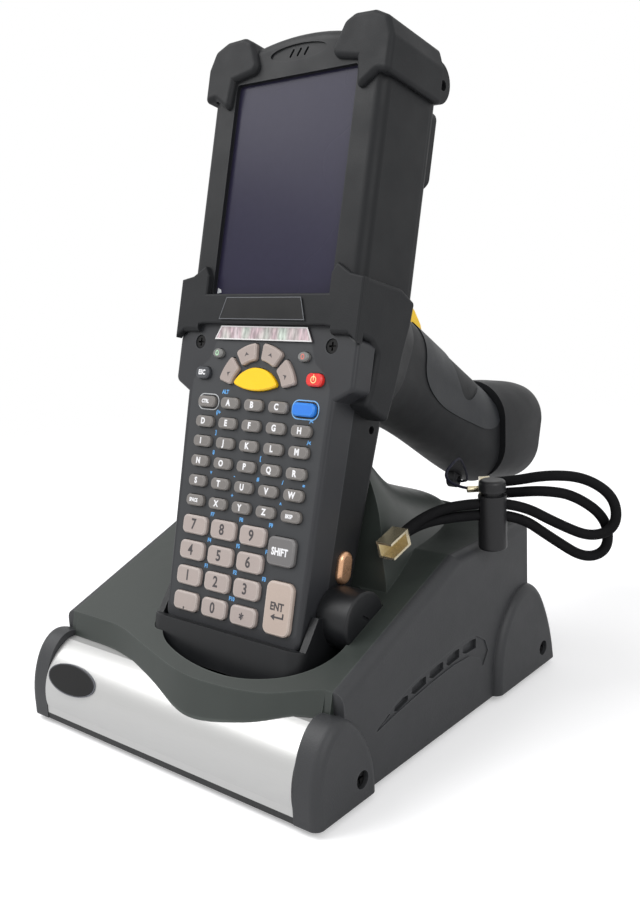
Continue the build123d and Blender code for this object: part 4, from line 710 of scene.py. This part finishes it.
class TERMINAL_OT_key_marks(bpy.types.Operator):
    """Adds the power mark, the rings round two keys and the marks on the corner keys"""

    bl_idname = "terminal.key_marks"
    bl_label = "Key marks"

    def execute(self, context):
        ring = oval(POWER_KEY, 1.35, 1.35, 28)
        mark = [plate(ring, on_face(0, 0, KEY_TOP - SINK), FACE_TURN, MARK, hole=0.36),
                plate(POWER_STROKE, on_face(0, 0, KEY_TOP), FACE_TURN, MARK)]
        cream = finish("Power mark ink", shade(255, 214, 150), 0.5, mottle=0.03)
        hand_over(settle(join(mark), "power_key_mark"), cream, "power_key")
        pale = finish("Key ring ink", shade(176, 178, 180), 0.5, mottle=0.05)
        blue = finish("Function ring ink", shade(122, 176, 226), 0.45, mottle=0.05)
        v = LETTER_ROWS[0]
        for name, u, size, ink in (("control_ring", LETTER_COLUMNS[0], (11.6, 6.5), pale),
                                   ("function_ring", LETTER_COLUMNS[-1], (13.0, 7.3), blue)):
            outline = [(u + x, v + y) for x, y in pill(*size, 3.1)]
            piece = plate(outline, on_face(0, 0, -SINK), FACE_TURN, 0.08, hole=0.42)
            hand_over(settle(piece, name), ink, "terminal")
        for name, u, colour in (("left_mark", -22.0, shade(170, 214, 176)),
                                ("right_mark", 22.0, shade(206, 110, 100))):
            spot = oval((u, 106.4), 0.9, 1.1, 12)
            piece = settle(plate(spot, on_face(0, 0, KEY_TOP - SINK), FACE_TURN, MARK, hole=0.4), name)
            hand_over(piece, finish(name + " ink", colour, 0.5, mottle=0.05), "corner_keys")
        return {"FINISHED"}


class TERMINAL_OT_panel_labels(bpy.types.Operator):
    """Prints the small blue labels between the keys"""

    bl_idname = "terminal.panel_labels"
    bl_label = "Panel labels"

    def execute(self, context):
        blue = finish("Blue label ink", shade(92, 160, 220), 0.5, mottle=0.05)
        words = [lettering(text, on_face(u, v, LIFT), FACE_TURN, 1.5, bold=0.1, squeeze=0.95)
                 for text, u, v in FUNCTION_LABELS]
        hand_over(settle(join(words), "panel_labels"), blue, "terminal")
        return {"FINISHED"}


class TERMINAL_OT_handle_finish(bpy.types.Operator):
    """Gives the handle, trigger and battery cap their finishes"""

    bl_idname = "terminal.handle_finish"
    bl_label = "Handle finishes"

    def execute(self, context):
        colours = context.scene.terminal_colours
        dress(finish("Handle rubber", colours.boot, 0.58, grain=0.5, depth=0.25, mottle=0.08, wear_and_highlight=0.25,
                     specular=0.22), "handle_shell")
        dress(finish("Side panel rubber", colours.grip, 0.5, grain=0.6, depth=0.35, mottle=0.06,
                     specular=0.3), "grip_panels")
        dress(finish("Trigger yellow", colours.trigger, 0.36, grain=0.4, depth=0.08, mottle=0.04, wear_and_highlight=0.3),
              "trigger")
        dress(finish("Battery cap", shade(24, 25, 27), 0.52, grain=0.5, depth=0.25, wear_and_highlight=0.25, specular=0.25),
              "battery_pack")
        return {"FINISHED"}


class TERMINAL_OT_lanyard_cords(bpy.types.Operator):
    """Braids the two cords and the thin string of the lanyard"""

    bl_idname = "terminal.lanyard_cords"
    bl_label = "Lanyard cords"

    def execute(self, context):
        sizes = context.scene.lanyard_sizes
        black = finish("Black braid", shade(13, 13, 15), 0.75, grain=0.3, depth=0.5, mottle=0.25,
                       blotch=4.0, specular=0.15)
        blue = finish("Blue-black string", shade(16, 17, 34), 0.7, grain=0.2, depth=0.5, mottle=0.25,
                      blotch=3.0, specular=0.2)
        thick_braid = (sizes.cord, sizes.braid_pitch, 12, 24, 0.1)
        thin_braid = (sizes.string, sizes.braid_pitch * 0.5, 6, 12, 0.14)
        for name, route, braid, yarn, node, slot in (
                ("braided_cord_outer", OUTER_ROUTE, thick_braid, black, "lanyard_cord_outer", "cord"),
                ("braided_cord_inner", INNER_ROUTE, thick_braid, black, "lanyard_cord_inner", "cord"),
                ("thin_string", STRING_ROUTE, thin_braid, blue, "lanyard_string", "string")):
            diameter, pitch, carriers, around, relief = braid
            piece, path = braided_tube(name, smooth_line(route), diameter / 2, pitch, carriers, around, relief)
            settle(piece, name)
            hand_over(piece, yarn, "terminal", (node,))
        return {"FINISHED"}


class TERMINAL_OT_lanyard_fittings(bpy.types.Operator):
    """Finishes the clip and the cord lock and adds the crimp on the string"""

    bl_idname = "terminal.lanyard_fittings"
    bl_label = "Lanyard fittings"

    def execute(self, context):
        brass = finish("Pale brass", shade(216, 204, 172), 0.26, grain=0.3, depth=0.06, metallic=0.85,
                       wear_and_highlight=0.4)
        lock = finish("Cord lock plastic", shade(25, 25, 27), 0.4, grain=0.4, depth=0.15, wear_and_highlight=0.4,
                      specular=0.35)
        dress(brass, "lanyard_fittings")
        dress(lock, "cord_lock_barrel", "cord_lock_plunger")
        deselect()
        bpy.ops.mesh.primitive_cylinder_add(vertices=28, radius=0.0017, depth=0.0056, end_fill_type="NGON",
                                            location=CRIMP_PLACE, rotation=(0.0, math.pi / 2, CRIMP_TURN))
        crimp = bpy.context.object
        bpy.ops.object.mode_set(mode="EDIT")
        bpy.ops.mesh.select_all(action="DESELECT")
        bpy.ops.object.mode_set(mode="OBJECT")
        for face in crimp.data.polygons:
            face.select = len(face.vertices) > 4
        bpy.ops.object.mode_set(mode="EDIT")
        bpy.ops.mesh.inset(thickness=0.0006, depth=-0.0004)
        bpy.ops.object.mode_set(mode="OBJECT")
        bevel = crimp.modifiers.new("Rolled ends", "BEVEL")
        bevel.width = 0.0004
        bevel.segments = 3
        bevel.limit_method = "ANGLE"
        bpy.ops.object.modifier_apply(modifier=bevel.name)
        bpy.ops.object.shade_smooth_by_angle(angle=math.radians(40))
        hand_over(settle(crimp, "string_crimp"), brass, "terminal")
        return {"FINISHED"}


CAMERA_PLACE = (0.26771, -0.340886, 0.19051)
CAMERA_ANGLES = (39.86, 12.05, -2.80)  # azimuth from the front to the right, elevation and roll, in degrees
LAMP_AIM = Vector((0.0, -0.02, 0.12))
FLOOR_RADIUS = 1.6
FLOOR_FADE = (0.3, 0.75)               # metres from the middle where the floor begins and ends to clear


class TERMINAL_OT_stage(bpy.types.Operator):
    """Sets up the floor, the lamps, the surroundings and the camera"""

    bl_idname = "terminal.stage"
    bl_label = "Stage"

    def execute(self, context):
        settings = context.scene.stage_settings
        scene = context.scene
        scene.view_settings.view_transform = "Standard"
        deselect()
        bpy.ops.mesh.primitive_circle_add(vertices=96, radius=FLOOR_RADIUS, fill_type="NGON",
                                          location=(0, 0, -0.0002))
        floor = settle(bpy.context.object, "studio_floor")
        material = bpy.data.materials.new("Studio floor")
        material.use_nodes = True
        nodes = Nodes(material)
        path = nodes.add("LightPath")
        place = nodes.add("TexCoord")
        reach = nodes.add("VectorMath", None, {0: place.outputs["Object"]}, operation="LENGTH")
        fade = nodes.add("MapRange", {"From Min": FLOOR_FADE[0], "From Max": FLOOR_FADE[1]},
                         {"Value": reach.outputs["Value"]}, interpolation_type="SMOOTHSTEP")
        white = nodes.add("BsdfDiffuse", {"Color": (0.86, 0.86, 0.87, 1.0)})
        lift = nodes.add("MapRange", {"To Min": 0.0, "To Max": 0.3}, {"Value": path.outputs["Is Camera Ray"]})
        glow = nodes.add("Emission", {"Color": (1.0, 1.0, 1.0, 1.0)}, {"Strength": lift.outputs[0]})
        both = nodes.add("AddShader", None, {0: white.outputs[0], 1: glow.outputs[0]})
        clear = nodes.add("BsdfTransparent")
        mixed = nodes.add("MixShader", None, {0: fade.outputs[0], 1: both.outputs[0], 2: clear.outputs[0]})
        nodes.add("OutputMaterial", None, {"Surface": mixed.outputs[0]})
        floor.data.materials.append(material)

        world = bpy.data.worlds.new("White studio")
        scene.world = world
        world.use_nodes = True
        nodes = Nodes(world)
        path = nodes.add("LightPath")
        seen = nodes.add("Math", None, {0: path.outputs["Is Camera Ray"], 1: path.outputs["Is Glossy Ray"]},
                         operation="ADD")
        shown = nodes.add("Math", None, {0: seen.outputs[0], 1: path.outputs["Is Transmission Ray"]},
                          operation="ADD", use_clamp=True)
        level = nodes.add("MapRange", {"To Min": settings.ambient, "To Max": 1.0},
                          {"Value": shown.outputs[0]})
        sky = nodes.add("Background", {"Color": (1.0, 1.0, 1.0, 1.0)}, {"Strength": level.outputs[0]})
        nodes.add("OutputWorld", None, {"Surface": sky.outputs[0]})

        for name, place, size, power in (("Key lamp", (-0.75, -0.75, 1.25), 1.0, settings.key_power),
                                         ("Fill lamp", (1.2, -0.55, 0.9), 0.9, settings.fill_power)):
            lamp = bpy.data.lights.new(name, "AREA")
            lamp.energy = power
            lamp.size = size
            holder = bpy.data.objects.new(name, lamp)
            scene.collection.objects.link(holder)
            holder.location = place
            holder.rotation_euler = (LAMP_AIM - Vector(place)).to_track_quat("-Z", "Y").to_euler()

        azimuth, elevation, roll = (math.radians(angle) for angle in CAMERA_ANGLES)
        back = Vector((math.sin(azimuth) * math.cos(elevation), -math.cos(azimuth) * math.cos(elevation),
                       math.sin(elevation)))
        right = Vector((math.cos(azimuth), math.sin(azimuth), 0.0))
        up = back.cross(right)
        across = right * math.cos(roll) + up * math.sin(roll)
        above = up * math.cos(roll) - right * math.sin(roll)
        lens = bpy.data.cameras.new("Studio camera")
        lens.sensor_fit = "AUTO"
        lens.sensor_width = 36.0
        lens.lens = settings.focal
        lens.clip_start = 0.01
        camera = bpy.data.objects.new("Studio camera", lens)
        scene.collection.objects.link(camera)
        turn = Matrix((across, above, back)).transposed().to_4x4()
        camera.matrix_world = Matrix.Translation(CAMERA_PLACE) @ turn
        scene.camera = camera
        return {"FINISHED"}


STEPS = (TERMINAL_OT_stage, TERMINAL_OT_lanyard_cords, TERMINAL_OT_lanyard_fittings,
         TERMINAL_OT_cradle_finish, TERMINAL_OT_blank_badge, TERMINAL_OT_housing_finish,
         TERMINAL_OT_screen, TERMINAL_OT_nameplate, TERMINAL_OT_indicator, TERMINAL_OT_key_finish,
         TERMINAL_OT_key_legends, TERMINAL_OT_key_marks, TERMINAL_OT_panel_labels,
         TERMINAL_OT_handle_finish)
GROUPS = (("terminal_colours", TerminalColours), ("cradle_colours", CradleColours),
          ("lanyard_sizes", LanyardSizes), ("stage_settings", StageSettings))


class TERMINAL_PT_sidebar(bpy.types.Panel):
    """Lists the pieces and their settings"""

    bl_label = "Data terminal"
    bl_idname = "TERMINAL_PT_sidebar"
    bl_space_type = "VIEW_3D"
    bl_region_type = "UI"
    bl_category = "Terminal"

    def draw(self, context):
        for group, kind in GROUPS:
            box = self.layout.box()
            settings = getattr(context.scene, group)
            for field in kind.__annotations__:
                box.prop(settings, field)
        for step in STEPS:
            self.layout.operator(step.bl_idname)


def register():
    """Adds the settings, the operators and the panel."""
    for group, kind in GROUPS:
        bpy.utils.register_class(kind)
        setattr(bpy.types.Scene, group, bpy.props.PointerProperty(type=kind))
    for step in STEPS:
        bpy.utils.register_class(step)
    bpy.utils.register_class(TERMINAL_PT_sidebar)


def unregister():
    """Takes them away again."""
    bpy.utils.unregister_class(TERMINAL_PT_sidebar)
    for step in reversed(STEPS):
        bpy.utils.unregister_class(step)
    for group, kind in reversed(GROUPS):
        delattr(bpy.types.Scene, group)
        bpy.utils.unregister_class(kind)


def main():
    """Builds the whole scene in order."""
    register()
    for step in STEPS:
        family, name = step.bl_idname.split(".")
        getattr(getattr(bpy.ops, family), name)()
    bpy.context.view_layer.update()


if __name__ == "__main__":
    main()
